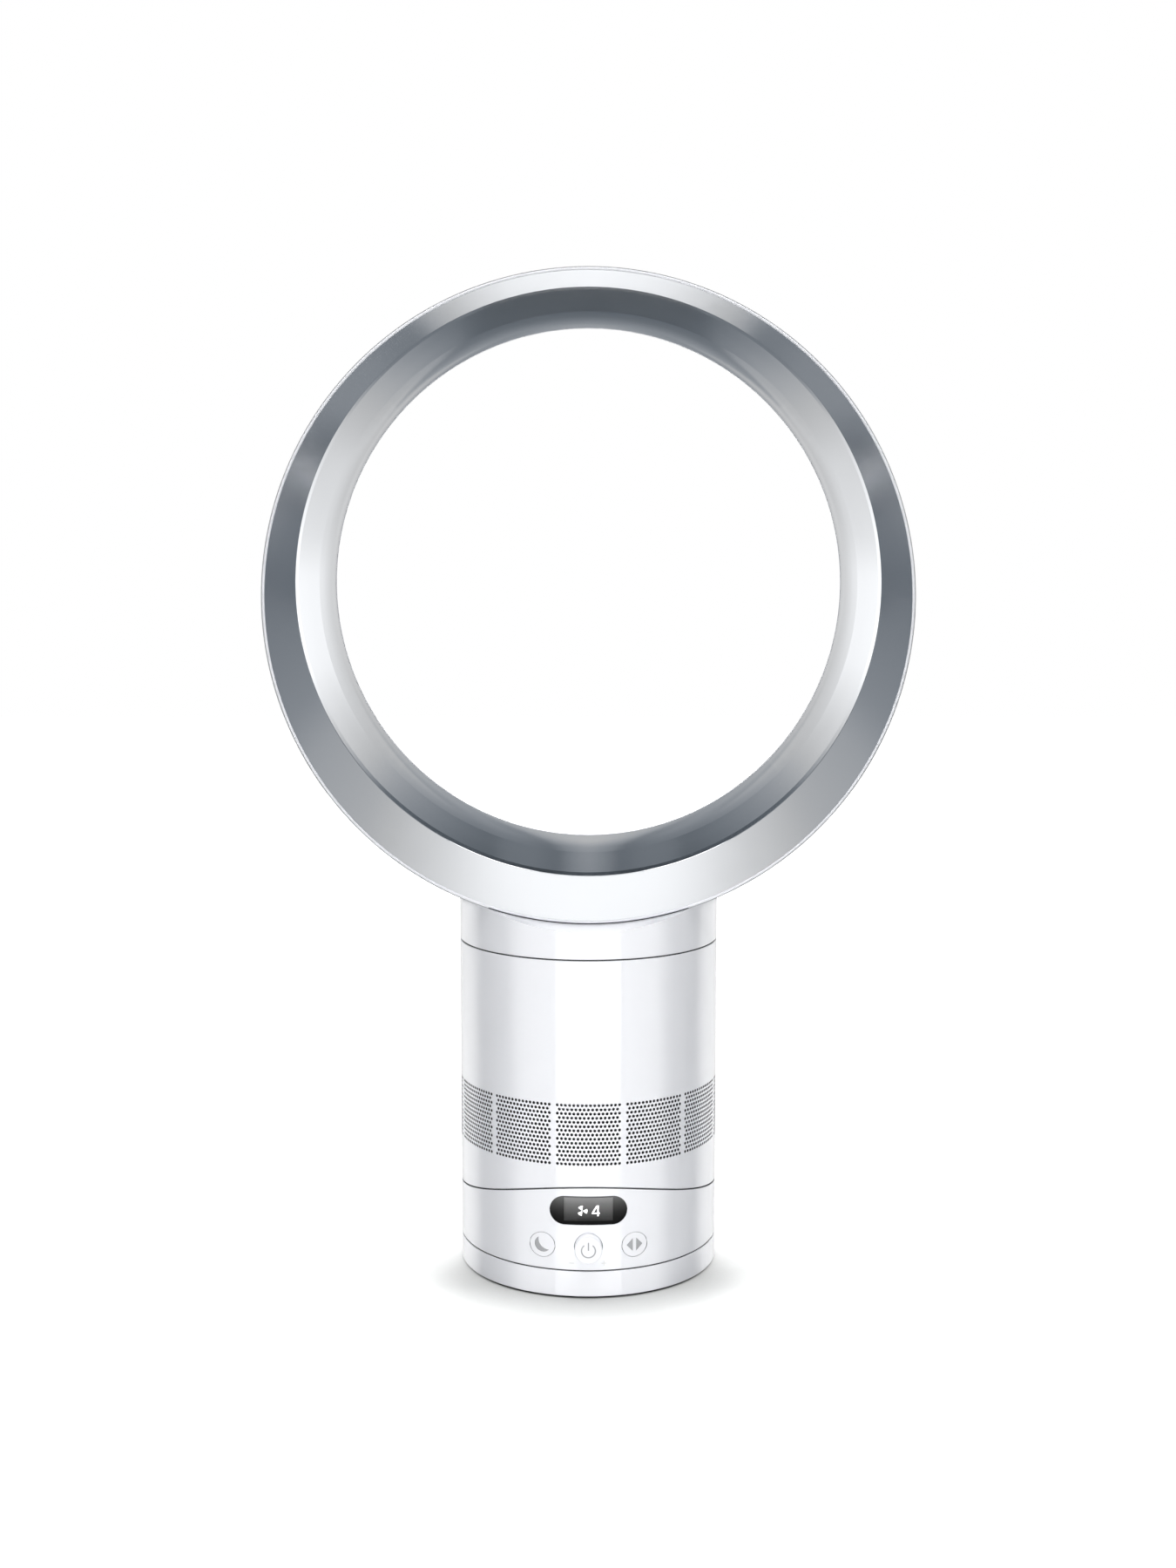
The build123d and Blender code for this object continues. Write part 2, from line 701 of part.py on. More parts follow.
# Tilt guide: a bent T on the control housing that the tower's slotted floor rocks under
floor_top_radius = rocker_radius - floor_plate
head_radius = floor_top_radius - free_gap
guide_turn = radians(tilt_range) + asin(guide_length / 2 / head_radius)
slot_length = 2 * (saddle_radius * sin(guide_turn) + free_gap)
guide_screw_seat = tilt_axis_z - housing_underside
with BuildPart() as tilt_guide:
    add(bent_plate(head_radius, saddle_radius - seat, guide_width, guide_length))
    add(bent_plate(head_radius - guide_head, head_radius, guide_head_width, guide_length))
    Cylinder(guide_bore, 2 * tilt_axis_z, mode=Mode.SUBTRACT)
    with Locations((-guide_screw_spacing / 2, 0), (guide_screw_spacing / 2, 0)):
        Cylinder(screw_radius + slip, 2 * tilt_axis_z, mode=Mode.SUBTRACT)
finish(tilt_guide.part, "tilt_guide")

with BuildPart() as guide_screws:
    with Locations(
        (-guide_screw_spacing / 2, 0, guide_screw_seat),
        (guide_screw_spacing / 2, 0, guide_screw_seat),
    ):
        screw(housing_underside - head_radius + guide_head / 2)
finish(guide_screws.part, "guide_screws")

with BuildPart() as tilt_glides:
    with Locations((-glide_spacing / 2, 0), (glide_spacing / 2, 0)):
        add(bent_plate(saddle_radius - glide_thickness, saddle_radius - slip, glide_width, glide_length))
finish(tilt_glides.part, "tilt_glides")

# Tower floor: a bent plate with the guide's slot, pads for its screws and posts for the motor board
boss_turns = [radians(boss_angle + 360 * boss / boss_count) for boss in range(boss_count)]
pad_depth = inner_radius * max(abs(sin(turn)) for turn in boss_turns) + boss_radius / 2
pad_z = bent_z(floor_top_radius, pad_depth) + free_gap
floor_screw_seat = bent_z(rocker_radius, pad_depth) + screw_head
head_top = bent_z(head_radius - guide_head, (head_radius - guide_head) * sin(guide_turn))
motor_board_z = head_top + motor_board_gap
post_x = (motor_board_width - 4 * motor_board_post) / 2
post_y = (motor_board_length - 4 * motor_board_post) / 2
with BuildPart() as tower_floor:
    add(bent_plate(floor_top_radius, rocker_radius, drum_width, drum_width))
    with PolarLocations(boss_circle, boss_count, start_angle=boss_angle):
        Cylinder(boss_radius, pad_z, align=UPWARD)
    with GridLocations(2 * post_x, 2 * post_y, 2, 2):
        Cylinder(motor_board_post, motor_board_z, align=UPWARD)
    with Locations((0, 0, tilt_axis_z)):
        Cylinder(rocker_radius, tall, rotation=ALONG_X, mode=Mode.INTERSECT)
    Cylinder(insert_radius, 2 * tilt_axis_z, mode=Mode.INTERSECT)
    add(
        bent_plate(
            floor_top_radius - floor_plate,
            rocker_radius + floor_plate,
            guide_width + 2 * free_gap,
            slot_length,
        ),
        mode=Mode.SUBTRACT,
    )
    with Locations((0, 0, floor_screw_seat)):
        with PolarLocations(boss_circle, boss_count, start_angle=boss_angle):
            screw_hole(tall, tall)
finish(tower_floor.part, "tower_floor")

with BuildPart() as floor_screws:
    with Locations((0, 0, floor_screw_seat)):
        with PolarLocations(boss_circle, boss_count, start_angle=boss_angle):
            screw(pad_z - floor_screw_seat + screw_grip)
finish(floor_screws.part, "floor_screws")

with BuildPart() as motor_board:
    with BuildSketch(Plane.XY.offset(motor_board_z)):
        RectangleRounded(motor_board_width, motor_board_length, motor_board_post)
    extrude(amount=board_thickness)
finish(motor_board.part, "motor_board")

# Tower casing: a tube with a rocking lower edge, two inner ledges and the perforated inlet
ledge_top = collar_seam_z - ledge_drop
lowest_row = tilt_seam_z + grille_rise
grille_band = ledge_top - grille_margin - lowest_row
bayonet_bottom = tower_top - bayonet_height
hole_start = inner_radius - pedestal_wall / 2
column_step = grille_panel_angle / (grille_columns - 1)
hole_planes = []
for panel in range(grille_panels):
    panel_start = 270 + 360 * panel / grille_panels - grille_panel_angle / 2
    for row in range(grille_rows):
        stagger = row % 2
        height = lowest_row + grille_band * row / (grille_rows - 1)
        for column in range(grille_columns - stagger):
            turn = radians(panel_start + (column + stagger / 2) * column_step)
            outward = (cos(turn), sin(turn), 0)
            hole_origin = (hole_start * cos(turn), hole_start * sin(turn), height)
            hole_planes.append(Plane(origin=hole_origin, x_dir=(0, 0, 1), z_dir=outward))
with BuildPart() as tower_casing:
    tube(pedestal_radius, inner_radius, base_height, tower_top)
    fillet(rounded(tower_casing, pedestal_radius, tower_top), seam_round)
    with Locations((0, 0, tilt_axis_z)):
        Cylinder(rocker_radius, tall, rotation=ALONG_X, mode=Mode.INTERSECT)
    with BuildSketch(Plane.XY.offset(ledge_top - ledge_thickness)):
        Circle(inner_radius + pedestal_wall / 2)
        Circle(inner_radius - ledge_width, mode=Mode.SUBTRACT)
    extrude(amount=ledge_thickness)
    with BuildSketch(Plane.XY.offset(bayonet_bottom - ledge_thickness)):
        Circle(inner_radius + pedestal_wall / 2)
        Circle(inner_radius - ledge_width / 2, mode=Mode.SUBTRACT)
    extrude(amount=ledge_thickness)
    with BuildSketch(Plane.XY.offset(pad_z)):
        with PolarLocations(boss_circle, boss_count, start_angle=boss_angle):
            Circle(boss_radius)
            with Locations((boss_inset / 2, 0)):
                Rectangle(boss_inset + pedestal_wall, boss_radius)
    extrude(amount=boss_height)
    with BuildSketch(Plane.XY.offset(pad_z)):
        with PolarLocations(boss_circle, boss_count, start_angle=boss_angle):
            Circle(screw_radius + slip)
    extrude(amount=screw_grip + slip, mode=Mode.SUBTRACT)
    with BuildSketch(*hole_planes):
        RegularPolygon(grille_hole, 6)
    extrude(amount=2 * pedestal_wall, mode=Mode.SUBTRACT, clean=False)
finish(tower_casing.part, "tower_casing")

# Blower housing: a bell mouth, a flared shroud and a straight duct, hung on a soft seal
stack_z = ledge_top + seal_thickness
throat_z = stack_z + inlet_bell
shroud_bottom = throat_z + inlet_neck
shroud_top = shroud_bottom + shroud_height
housing_top = shroud_top + duct_height
shroud_slope = atan2(shroud_height, outlet_radius - inlet_radius)
bell_middle = inlet_radius + inlet_bell
outer_neck = inlet_radius + shroud_wall
outer_duct = outlet_radius + shroud_wall
corner_drop = shroud_wall * tan((pi / 2 - shroud_slope) / 2)
with BuildPart() as impeller_housing:
    with BuildSketch(Plane.XZ):
        with BuildLine():
            Polyline(
                (bell_middle, stack_z + shroud_wall),
                (insert_radius, stack_z + shroud_wall),
                (insert_radius, stack_z),
                (bell_middle, stack_z),
            )
            RadiusArc((bell_middle, stack_z), (inlet_radius, throat_z), inlet_bell)
            Polyline(
                (inlet_radius, throat_z),
                (inlet_radius, shroud_bottom),
                (outlet_radius, shroud_top),
                (outlet_radius, housing_top),
                (outer_duct, housing_top),
                (outer_duct, shroud_top - corner_drop),
                (outer_neck, shroud_bottom - corner_drop),
                (outer_neck, throat_z),
            )
            RadiusArc((outer_neck, throat_z), (bell_middle, stack_z + shroud_wall), shroud_wall - inlet_bell)
        make_face()
    revolve(axis=Axis.Z)
finish(impeller_housing.part, "impeller_housing")

with BuildPart() as housing_seal:
    tube(insert_radius, inner_radius - ledge_width, ledge_top, stack_z)
finish(housing_seal.part, "housing_seal")

# Impeller: a domed hub with swept blades that follow the shroud
hub_bottom = stack_z + hub_rise
hub_top = hub_bottom + hub_height
shaft_bore = motor_shaft_radius + seat
blade_bottom = hub_bottom + hub_wall
blade_shift_r = blade_gap * sin(shroud_slope)
blade_shift_z = blade_gap * cos(shroud_slope)
shroud_flare = (hub_top - shroud_bottom) * (outlet_radius - inlet_radius) / shroud_height
tip_radius = inlet_radius + shroud_flare - blade_gap / sin(shroud_slope)
with BuildPart() as blade:
    for share in (0, 1 / 3, 2 / 3, 1):
        turn = -radians(blade_sweep) * sqrt(share)
        blade_plane = Plane(
            origin=(0, 0, hub_bottom + share * hub_height),
            x_dir=(cos(turn), sin(turn), 0),
            z_dir=(0, 0, 1),
        )
        with BuildSketch(blade_plane):
            with Locations((outlet_radius / 2 + motor_shaft_radius, 0)):
                Rectangle(outlet_radius, blade_thickness)
    loft()
    with BuildSketch(Plane.XZ):
        with BuildLine():
            Polyline(
                (hub_nose - hub_wall, blade_bottom),
                (inlet_radius - blade_gap, blade_bottom),
                (inlet_radius - blade_gap, shroud_bottom),
                (inlet_radius - blade_shift_r, shroud_bottom + blade_shift_z),
                (tip_radius, hub_top),
                (hub_radius - hub_wall / 2, hub_top),
                close=True,
            )
        make_face()
    revolve(axis=Axis.Z, mode=Mode.INTERSECT)

with BuildPart() as impeller:
    with BuildSketch(Plane.XZ):
        with BuildLine():
            Line((shaft_bore, hub_bottom), (hub_nose, hub_bottom))
            SagittaArc((hub_nose, hub_bottom), (hub_radius, hub_top), -hub_bulge)
            Polyline(
                (hub_radius, hub_top),
                (hub_radius - hub_wall, hub_top),
                (hub_boss_radius + hub_wall, hub_bottom + 2 * hub_wall),
                (hub_boss_radius, hub_bottom + 2 * hub_wall),
                (hub_boss_radius, hub_bottom + hub_boss_height),
                (shaft_bore, hub_bottom + hub_boss_height),
                (shaft_bore, hub_bottom),
            )
        make_face()
    revolve(axis=Axis.Z)
    with PolarLocations(0, impeller_blades):
        add(blade.part)
finish(impeller.part, "impeller")

# Motor: a bucket and cap that hold the bearings and the stator, with the shaft and magnet inside
bucket_bottom = hub_top + bucket_clearance
bucket_inside = bucket_bottom + bucket_floor
bucket_top = bucket_bottom + bucket_height
bucket_bore = hub_radius - bucket_wall
stator_bottom = bucket_inside + bearing_width + free_gap
bearing_seat = bearing_radius + seat
dome_rise = cap_height - cap_rim
dome_radius = (hub_radius**2 + dome_rise**2) / (2 * dome_rise)
with BuildPart() as motor_bucket:
    with BuildSketch(Plane.XZ):
        with BuildLine():
            Polyline(
                (motor_shaft_radius + free_gap, bucket_bottom),
                (hub_radius, bucket_bottom),
                (hub_radius, bucket_top),
                (bucket_bore, bucket_top),
                (bucket_bore, stator_bottom),
                (bucket_bore - stator_ledge, stator_bottom),
                (bucket_bore - stator_ledge, bucket_inside),
                (bearing_seat + bearing_wall, bucket_inside),
                (bearing_seat + bearing_wall, bucket_inside + bearing_width),
                (bearing_seat, bucket_inside + bearing_width),
                (bearing_seat, bucket_inside),
                (motor_shaft_radius + free_gap, bucket_inside),
                close=True,
            )
        make_face()
    revolve(axis=Axis.Z)
finish(motor_bucket.part, "motor_bucket")

with BuildPart() as bucket_cap:
    with BuildSketch(Plane.XZ):
        with BuildLine():
            Polyline(
                (0, bucket_top + cap_height),
                (0, bucket_top),
                (bearing_seat, bucket_top),
                (bearing_seat, bucket_top - bearing_width),
                (bearing_seat + bearing_wall, bucket_top - bearing_width),
                (bearing_seat + bearing_wall, bucket_top),
                (hub_radius, bucket_top),
                (hub_radius, bucket_top + cap_rim),
            )
            RadiusArc((hub_radius, bucket_top + cap_rim), (0, bucket_top + cap_height), -dome_radius)
        make_face()
    revolve(axis=Axis.Z)
finish(bucket_cap.part, "bucket_cap")

for bearing_name, bottom in (
    ("lower_bearing", bucket_inside),
    ("upper_bearing", bucket_top - bearing_width),
):
    with BuildPart() as bearing:
        tube(bearing_radius, motor_shaft_radius + running, bottom, bottom + bearing_width)
        grooves = (bottom, bottom + bearing_width - bearing_groove)
        with BuildSketch(*[Plane.XY.offset(groove) for groove in grooves]):
            Circle(bearing_radius - bearing_groove)
            Circle(motor_shaft_radius + bearing_groove, mode=Mode.SUBTRACT)
        extrude(amount=bearing_groove, mode=Mode.SUBTRACT)
    finish(bearing.part, bearing_name)

with BuildPart() as motor_stator:
    tube(bucket_bore - slip, stator_bore, stator_bottom, stator_bottom + stator_height)
    with BuildSketch(Plane.XY.offset(stator_bottom)):
        with PolarLocations((bucket_bore + stator_bore) / 2, stator_teeth):
            Circle(stator_slot_radius)
        with PolarLocations(stator_bore, stator_teeth):
            Rectangle(2 * stator_slot_radius, free_gap * 4)
    extrude(amount=stator_height, mode=Mode.SUBTRACT)
finish(motor_stator.part, "motor_stator")

with BuildPart() as motor_shaft:
    with Locations((0, 0, hub_bottom)):
        Cylinder(motor_shaft_radius, bucket_top - free_gap - hub_bottom, align=UPWARD)
finish(motor_shaft.part, "motor_shaft")

with BuildPart() as rotor_magnet:
    tube(stator_bore - magnet_gap, shaft_bore, stator_bottom, stator_bottom + stator_height)
finish(rotor_magnet.part, "rotor_magnet")

# Diffuser: two rings joined by slanted vanes, between the bucket and the housing
vane_bottom = bucket_bottom + bucket_clearance
vane_outer = outlet_radius - slip
vane_inner = hub_radius + slip
with BuildPart() as vane:
    for share in (0, 1):
        turn = radians(vane_sweep) * (1 - share)
        vane_plane = Plane(
            origin=(0, 0, vane_bottom + share * vane_height),
            x_dir=(cos(turn), sin(turn), 0),
            z_dir=(0, 0, 1),
        )
        with BuildSketch(vane_plane):
            with Locations(((vane_outer + vane_inner) / 2, 0)):
                Rectangle(vane_outer - vane_inner, vane_thickness)
    loft(ruled=True)
    with BuildSketch(Plane.XZ):
        with Locations(((vane_outer + vane_inner) / 2, vane_bottom + vane_height / 2)):
            Rectangle(vane_outer - vane_inner - vane_ring, vane_height)
    revolve(axis=Axis.Z, mode=Mode.INTERSECT)

with BuildPart() as diffuser_vanes:
    with BuildSketch(Plane.XY.offset(vane_bottom)):
        Circle(vane_outer)
        Circle(vane_outer - vane_ring, mode=Mode.SUBTRACT)
        Circle(vane_inner + vane_ring)
        Circle(vane_inner, mode=Mode.SUBTRACT)
    extrude(amount=vane_height)
    with PolarLocations(0, vane_count):
        add(vane.part)
finish(diffuser_vanes.part, "diffuser_vanes")

# Bayonet ring: channels for the collar's lugs, open at the top where the lugs go in
spigot_bottom = collar_bottom - spigot_length
lug_bottom = spigot_bottom + lug_rise
channel_radius = spigot_radius + lug_reach + free_gap
channel_bottom = lug_bottom - free_gap
channel_top = lug_bottom + lug_height + free_gap
lug_room = degrees(free_gap / spigot_radius)


def sector(radius, start, size):
    """A pie slice on the sketch at hand, from a start angle and through a size, in degrees."""
    with BuildSketch(mode=Mode.PRIVATE) as slice_of:
        with BuildLine():
            edge = CenterArc((0, 0), radius, start, size)
            Line((0, 0), edge @ 0)
            Line(edge @ 1, (0, 0))
        make_face()
    return slice_of.sketch


with BuildPart() as bayonet_ring:
    tube(insert_radius, spigot_radius + free_gap, bayonet_bottom, tower_top)
    with BuildSketch(Plane.XY.offset(channel_bottom)):
        with PolarLocations(0, lug_count):
            add(sector(channel_radius, -lug_angle / 2 - bayonet_twist - lug_room,
                       lug_angle + bayonet_twist + 2 * lug_room))
    extrude(amount=channel_top - channel_bottom, mode=Mode.SUBTRACT)
    with BuildSketch(Plane.XY.offset(channel_bottom)):
        with PolarLocations(0, lug_count):
            add(sector(channel_radius, -lug_angle / 2 - bayonet_twist - lug_room, lug_angle + 2 * lug_room))
    extrude(amount=tower_top - channel_bottom, mode=Mode.SUBTRACT)
finish(bayonet_ring.part, "bayonet_ring")

with BuildPart() as duct_gasket:
    with BuildSketch(Plane.XZ):
        with BuildLine():
            Polyline(
                (outlet_radius, housing_top),
                (spigot_radius, housing_top),
                (spigot_radius, spigot_bottom - 2 * free_gap),
                (spigot_radius - spigot_wall, spigot_bottom - 2 * free_gap),
                (spigot_radius - spigot_wall, housing_top + gasket_thickness),
                (outlet_radius, housing_top + gasket_thickness),
                close=True,
            )
        make_face()
    revolve(axis=Axis.Z)
finish(duct_gasket.part, "duct_gasket")

# Ring collar: continues the pedestal up to the ring and saddles its underside
with BuildPart() as ring_collar:
    tube(pedestal_radius, spigot_radius - spigot_wall, collar_bottom, collar_bottom + collar_floor)
    fillet(rounded(ring_collar, pedestal_radius, collar_bottom), seam_round)
    tube(pedestal_radius, inner_radius, collar_bottom + collar_floor, ring_z)
    with BuildSketch(Plane.XZ):
        with Locations((0, ring_z)):
            Circle(ring_radius + saddle_wall)
        with Locations((0, ring_z - ring_radius)):
            Rectangle(2 * pedestal_radius, 2 * ring_radius, mode=Mode.INTERSECT)
    extrude(amount=pedestal_radius, both=True)
    with BuildSketch(Plane.XZ):
        with Locations((0, ring_z)):
            Circle(ring_radius + seat)
    extrude(amount=pedestal_radius, both=True, mode=Mode.SUBTRACT)
    Cylinder(pedestal_radius, 2 * ring_z, mode=Mode.INTERSECT)
    with BuildSketch(Plane.XY.offset(collar_bottom + collar_floor)):
        RectangleRounded(duct_width, duct_length, duct_corner)
    extrude(amount=ring_z, mode=Mode.SUBTRACT)
    tube(spigot_radius, spigot_radius - spigot_wall, spigot_bottom, collar_bottom)
    with BuildSketch(Plane.XY.offset(lug_bottom)):
        with PolarLocations(0, lug_count):
            add(sector(spigot_radius + lug_reach, -lug_angle / 2, lug_angle))
        Circle(spigot_radius - spigot_wall / 2, mode=Mode.SUBTRACT)
    extrude(amount=lug_height)
finish(ring_collar.part, "ring_collar")

# Ring outer casing: a turned shell with a rounded front lip and a rear lip that curls round the nose
nose_y = throat_depth - ring_front
nose_r = throat_radius + nose_radius
lip_radius = nose_radius + slot_gap
rear_inside = nose_y + lip_radius
rear_y = rear_inside + ring_wall
lip_y = -ring_front + ring_wall / 2
inside_radius = ring_radius - ring_wall
inside_round = rear_round - ring_wall
duct_sagitta = ring_radius - sqrt(inside_radius**2 - (duct_width / 2) ** 2)


def nose_point(radius, turn):
    """A point about the nose's middle, turned back from the throat by degrees."""
    return (nose_y + radius * sin(radians(turn)), nose_r - radius * cos(radians(turn)))


def nose_arc(radius, first, last):
    """Three points of an arc about the nose's middle, from one turn to another."""
    return [nose_point(radius, turn) for turn in (first, (first + last) / 2, last)]


rib_turns = [2 * pi * rib / slot_ribs for rib in range(slot_ribs)]
rib_planes = [
    Plane(origin=(0, 0, opening_z), x_dir=(0, 1, 0), z_dir=(cos(turn), 0, sin(turn))) for turn in rib_turns
]
with BuildPart() as ring_outer_casing:
    with BuildSketch(ring_plane):
        with BuildLine():
            ThreePointArc(
                (lip_y, inside_radius),
                (-ring_front, ring_radius - ring_wall / 2),
                (lip_y, ring_radius),
            )
            Line((lip_y, ring_radius), (rear_y - rear_round, ring_radius))
            CenterArc((rear_y - rear_round, ring_radius - rear_round), rear_round, 0, 90)
            Polyline(
                (rear_y, ring_radius - rear_round),
                (rear_y, throat_radius - ring_offset),
                (rear_inside, throat_radius - ring_offset),
                (rear_inside, ring_radius - rear_round),
            )
            CenterArc((rear_y - rear_round, ring_radius - rear_round), inside_round, 0, 90)
            Line((rear_y - rear_round, inside_radius), (lip_y, inside_radius))
        make_face()
    revolve(axis=ring_axis)
    with BuildSketch(front_plane(rear_y)):
        with Locations((0, opening_z)):
            Circle(nose_r)
    extrude(amount=2 * ring_wall, mode=Mode.SUBTRACT)
    with BuildSketch(opening_plane):
        with BuildLine():
            inner_arc = ThreePointArc(*nose_arc(lip_radius, lip_turn, back_turn))
            outer_arc = ThreePointArc(*nose_arc(lip_radius + ring_wall, lip_turn, back_turn))
            Line(inner_arc @ 0, outer_arc @ 0)
            Line(inner_arc @ 1, outer_arc @ 1)
        make_face()
    revolve(axis=opening_axis)
    with BuildSketch(*rib_planes):
        with BuildLine():
            inner_arc = ThreePointArc(*nose_arc(nose_radius + seat, rib_turn, back_turn))
            outer_arc = ThreePointArc(*nose_arc(lip_radius + ring_wall / 2, rib_turn, back_turn))
            Line(inner_arc @ 0, outer_arc @ 0)
            Line(inner_arc @ 1, outer_arc @ 1)
        make_face()
    extrude(amount=slot_rib_width / 2, both=True)
    with BuildSketch(Plane.XY.offset(ring_z - ring_radius - ring_wall)):
        RectangleRounded(duct_width, duct_length, duct_corner)
    extrude(amount=duct_sagitta + 2 * ring_wall, mode=Mode.SUBTRACT)
finish(ring_outer_casing.part, "ring_outer_casing")

# Ring inner casing: an eccentric silver bevel, a flared wall and the nose behind the throat
edge_y = lip_setback - ring_front
crease_y = edge_y + bevel_depth
edge_radius = inside_radius - slip
flare_depth = nose_y - crease_y
flare_slope = -flare_ease * atan2(flare_band, flare_depth)
flare_radius = -(flare_depth * sin(flare_slope) + flare_band * cos(flare_slope)) / (1 - cos(flare_slope))
flare_r = throat_radius + flare_radius
flare_middle = flare_slope / 2
back_crease = (crease_y, crease_radius + ring_wall / cos(flare_slope))


def flare_point(radius, slope):
    """A point of the curve into the throat, where the wall has that slope."""
    return (nose_y + radius * sin(slope), flare_r - radius * cos(slope))


flare_start = flare_point(flare_radius, flare_slope)
back_start = flare_point(flare_radius - ring_wall, flare_slope)

with BuildPart() as bevel_hollow:
    with BuildSketch(front_plane(edge_y)):
        with Locations((0, ring_z)):
            Circle(edge_radius - lip_edge)
    with BuildSketch(front_plane(crease_y)):
        with Locations((0, opening_z)):
            Circle(crease_radius)
    loft(ruled=True)

with BuildPart() as ring_inner_casing:
    with BuildSketch(front_plane(edge_y)):
        with Locations((0, ring_z)):
            Circle(edge_radius - lip_edge + bevel_wall)
    with BuildSketch(front_plane(crease_y)):
        with Locations((0, opening_z)):
            Circle(crease_radius + bevel_wall)
    loft(ruled=True)
    with BuildSketch(front_plane(crease_y)):
        with Locations((0, ring_z)):
            Circle(edge_radius)
    extrude(amount=bevel_depth, mode=Mode.INTERSECT)
    add(bevel_hollow.part, mode=Mode.SUBTRACT)
    with BuildSketch(opening_plane):
        with BuildLine():
            Line((crease_y, crease_radius), flare_start)
            ThreePointArc(
                flare_start,
                flare_point(flare_radius, flare_middle),
                (nose_y, throat_radius),
            )
            nose = ThreePointArc(*nose_arc(nose_radius, 0, nose_turn))
            inside = ThreePointArc(*nose_arc(nose_radius - ring_wall, 0, nose_turn))
            Line(nose @ 1, inside @ 1)
            ThreePointArc(
                (nose_y, throat_radius + ring_wall),
                flare_point(flare_radius - ring_wall, flare_middle),
                back_start,
            )
            Line(back_start, back_crease)
            Line(back_crease, (crease_y, crease_radius))
        make_face()
    revolve(axis=opening_axis)
    circles = ring_inner_casing.edges().filter_by(GeomType.CIRCLE)
    at_crease = circles.filter_by(lambda edge: abs(edge.center().Y - crease_y) < slip)
    fillet(at_crease.filter_by(lambda edge: abs(edge.radius - crease_radius) < slip), crease_round)
finish(ring_inner_casing.part, "ring_inner_casing")
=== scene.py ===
import json
from math import atan2, cos, pi, radians, sin, sqrt, tau

import bmesh
import bpy
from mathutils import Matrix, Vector

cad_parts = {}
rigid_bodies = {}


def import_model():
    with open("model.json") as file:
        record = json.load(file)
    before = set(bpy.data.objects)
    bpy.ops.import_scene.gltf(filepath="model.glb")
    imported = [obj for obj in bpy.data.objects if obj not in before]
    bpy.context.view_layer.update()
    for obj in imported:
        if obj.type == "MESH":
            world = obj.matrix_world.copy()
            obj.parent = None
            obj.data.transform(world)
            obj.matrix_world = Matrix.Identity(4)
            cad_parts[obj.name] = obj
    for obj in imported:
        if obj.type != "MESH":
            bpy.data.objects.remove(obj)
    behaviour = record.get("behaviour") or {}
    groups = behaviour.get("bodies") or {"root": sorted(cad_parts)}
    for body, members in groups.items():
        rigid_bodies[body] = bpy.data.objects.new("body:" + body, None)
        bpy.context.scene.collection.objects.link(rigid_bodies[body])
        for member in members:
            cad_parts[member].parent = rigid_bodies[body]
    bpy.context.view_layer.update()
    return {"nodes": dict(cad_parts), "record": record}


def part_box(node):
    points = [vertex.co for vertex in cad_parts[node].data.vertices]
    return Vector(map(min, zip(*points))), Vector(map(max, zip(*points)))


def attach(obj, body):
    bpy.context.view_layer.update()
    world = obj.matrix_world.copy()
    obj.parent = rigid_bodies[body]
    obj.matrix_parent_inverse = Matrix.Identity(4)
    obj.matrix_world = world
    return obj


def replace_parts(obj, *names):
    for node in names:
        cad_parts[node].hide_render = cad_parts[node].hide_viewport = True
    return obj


# A bladeless desk fan on a white studio floor. Metres, in the frame of the CAD model.

for default_object in list(bpy.data.objects):
    bpy.data.objects.remove(default_object)
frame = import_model()
nodes = frame["nodes"]


def box_centre(node):
    """The middle of a CAD node's box."""
    low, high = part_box(node)
    return (Vector(low) + Vector(high)) / 2


def joint_point(name):
    """A point on a joint's axis."""
    joints = frame["record"]["behaviour"]["joints"]
    return Vector(next(joint for joint in joints if joint["name"] == name)["pos_m"])


# Sizes read from the frame
tower_low, tower_high = (Vector(corner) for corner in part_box("tower_casing"))
pedestal_radius = tower_high.x
tower_top = tower_high.z
tilt_axis_z = joint_point("tower_tilt").z
rocker_radius = tilt_axis_z - tower_low.z
ledge_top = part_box("housing_seal")[0][2]
bayonet_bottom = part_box("bayonet_ring")[0][2]
knob_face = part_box("power_knob")[0][1]
base_top_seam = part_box("control_housing")[0][2]
ring_low, ring_high = (Vector(corner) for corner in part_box("ring_outer_casing"))
ring_radius = (ring_high.z - ring_low.z) / 2
ring_z = (ring_high.z + ring_low.z) / 2
bevel_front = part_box("ring_inner_casing")[0][1]

# Faces that meet at a larger angle keep a sharp edge between them
sharp_angle = radians(35)

# Tower casing
wall_thickness = 0.0026
seam_round = 0.0004
seam_round_turns = (pi / 6, pi / 3, pi / 2)
rim_round = 0.0003
ledge_width = 0.005
ledge_thickness = 0.0025

# Dark bands in the open seams between the sections, painted shade in the gaps, and a dark band under the
# ring's lip, a painted shadow where it meets the collar
seam = 0.0008
seam_shade_height = 0.0005
seam_shade_setback = 0.0005
seam_shade_width = 0.0018
lip_shadow_turn = radians(18.2)
lip_shadow_steps = 60
lip_shadow_front = 0.0001
lip_shadow_depth = 0.0008
lip_shadow_height = 0.00052

# Crease and rim of the silver bevel, white front lip and the grey line round it, painted shade on the lip's
# rounded outer edge
bevel_radius = 0.17215
bevel_depth = 0.0157
crease_radius = 0.1586
opening_rise = 0.008
flare_angle = radians(14.6)
crease_width = 0.003
crease_share = 0.4
crease_lift = 0.00012
rim_overlap = 0.04
rim_lift = 0.00015
rim_thickness = 0.0006
lip_start = 0.17278
lip_round = 0.00072
lip_reach = 0.00068
lip_drop = 0.00025
lip_sides = 20
line_inside = 0.1739
line_outside = 0.17464
line_depth = 0.001
trim_steps = 720

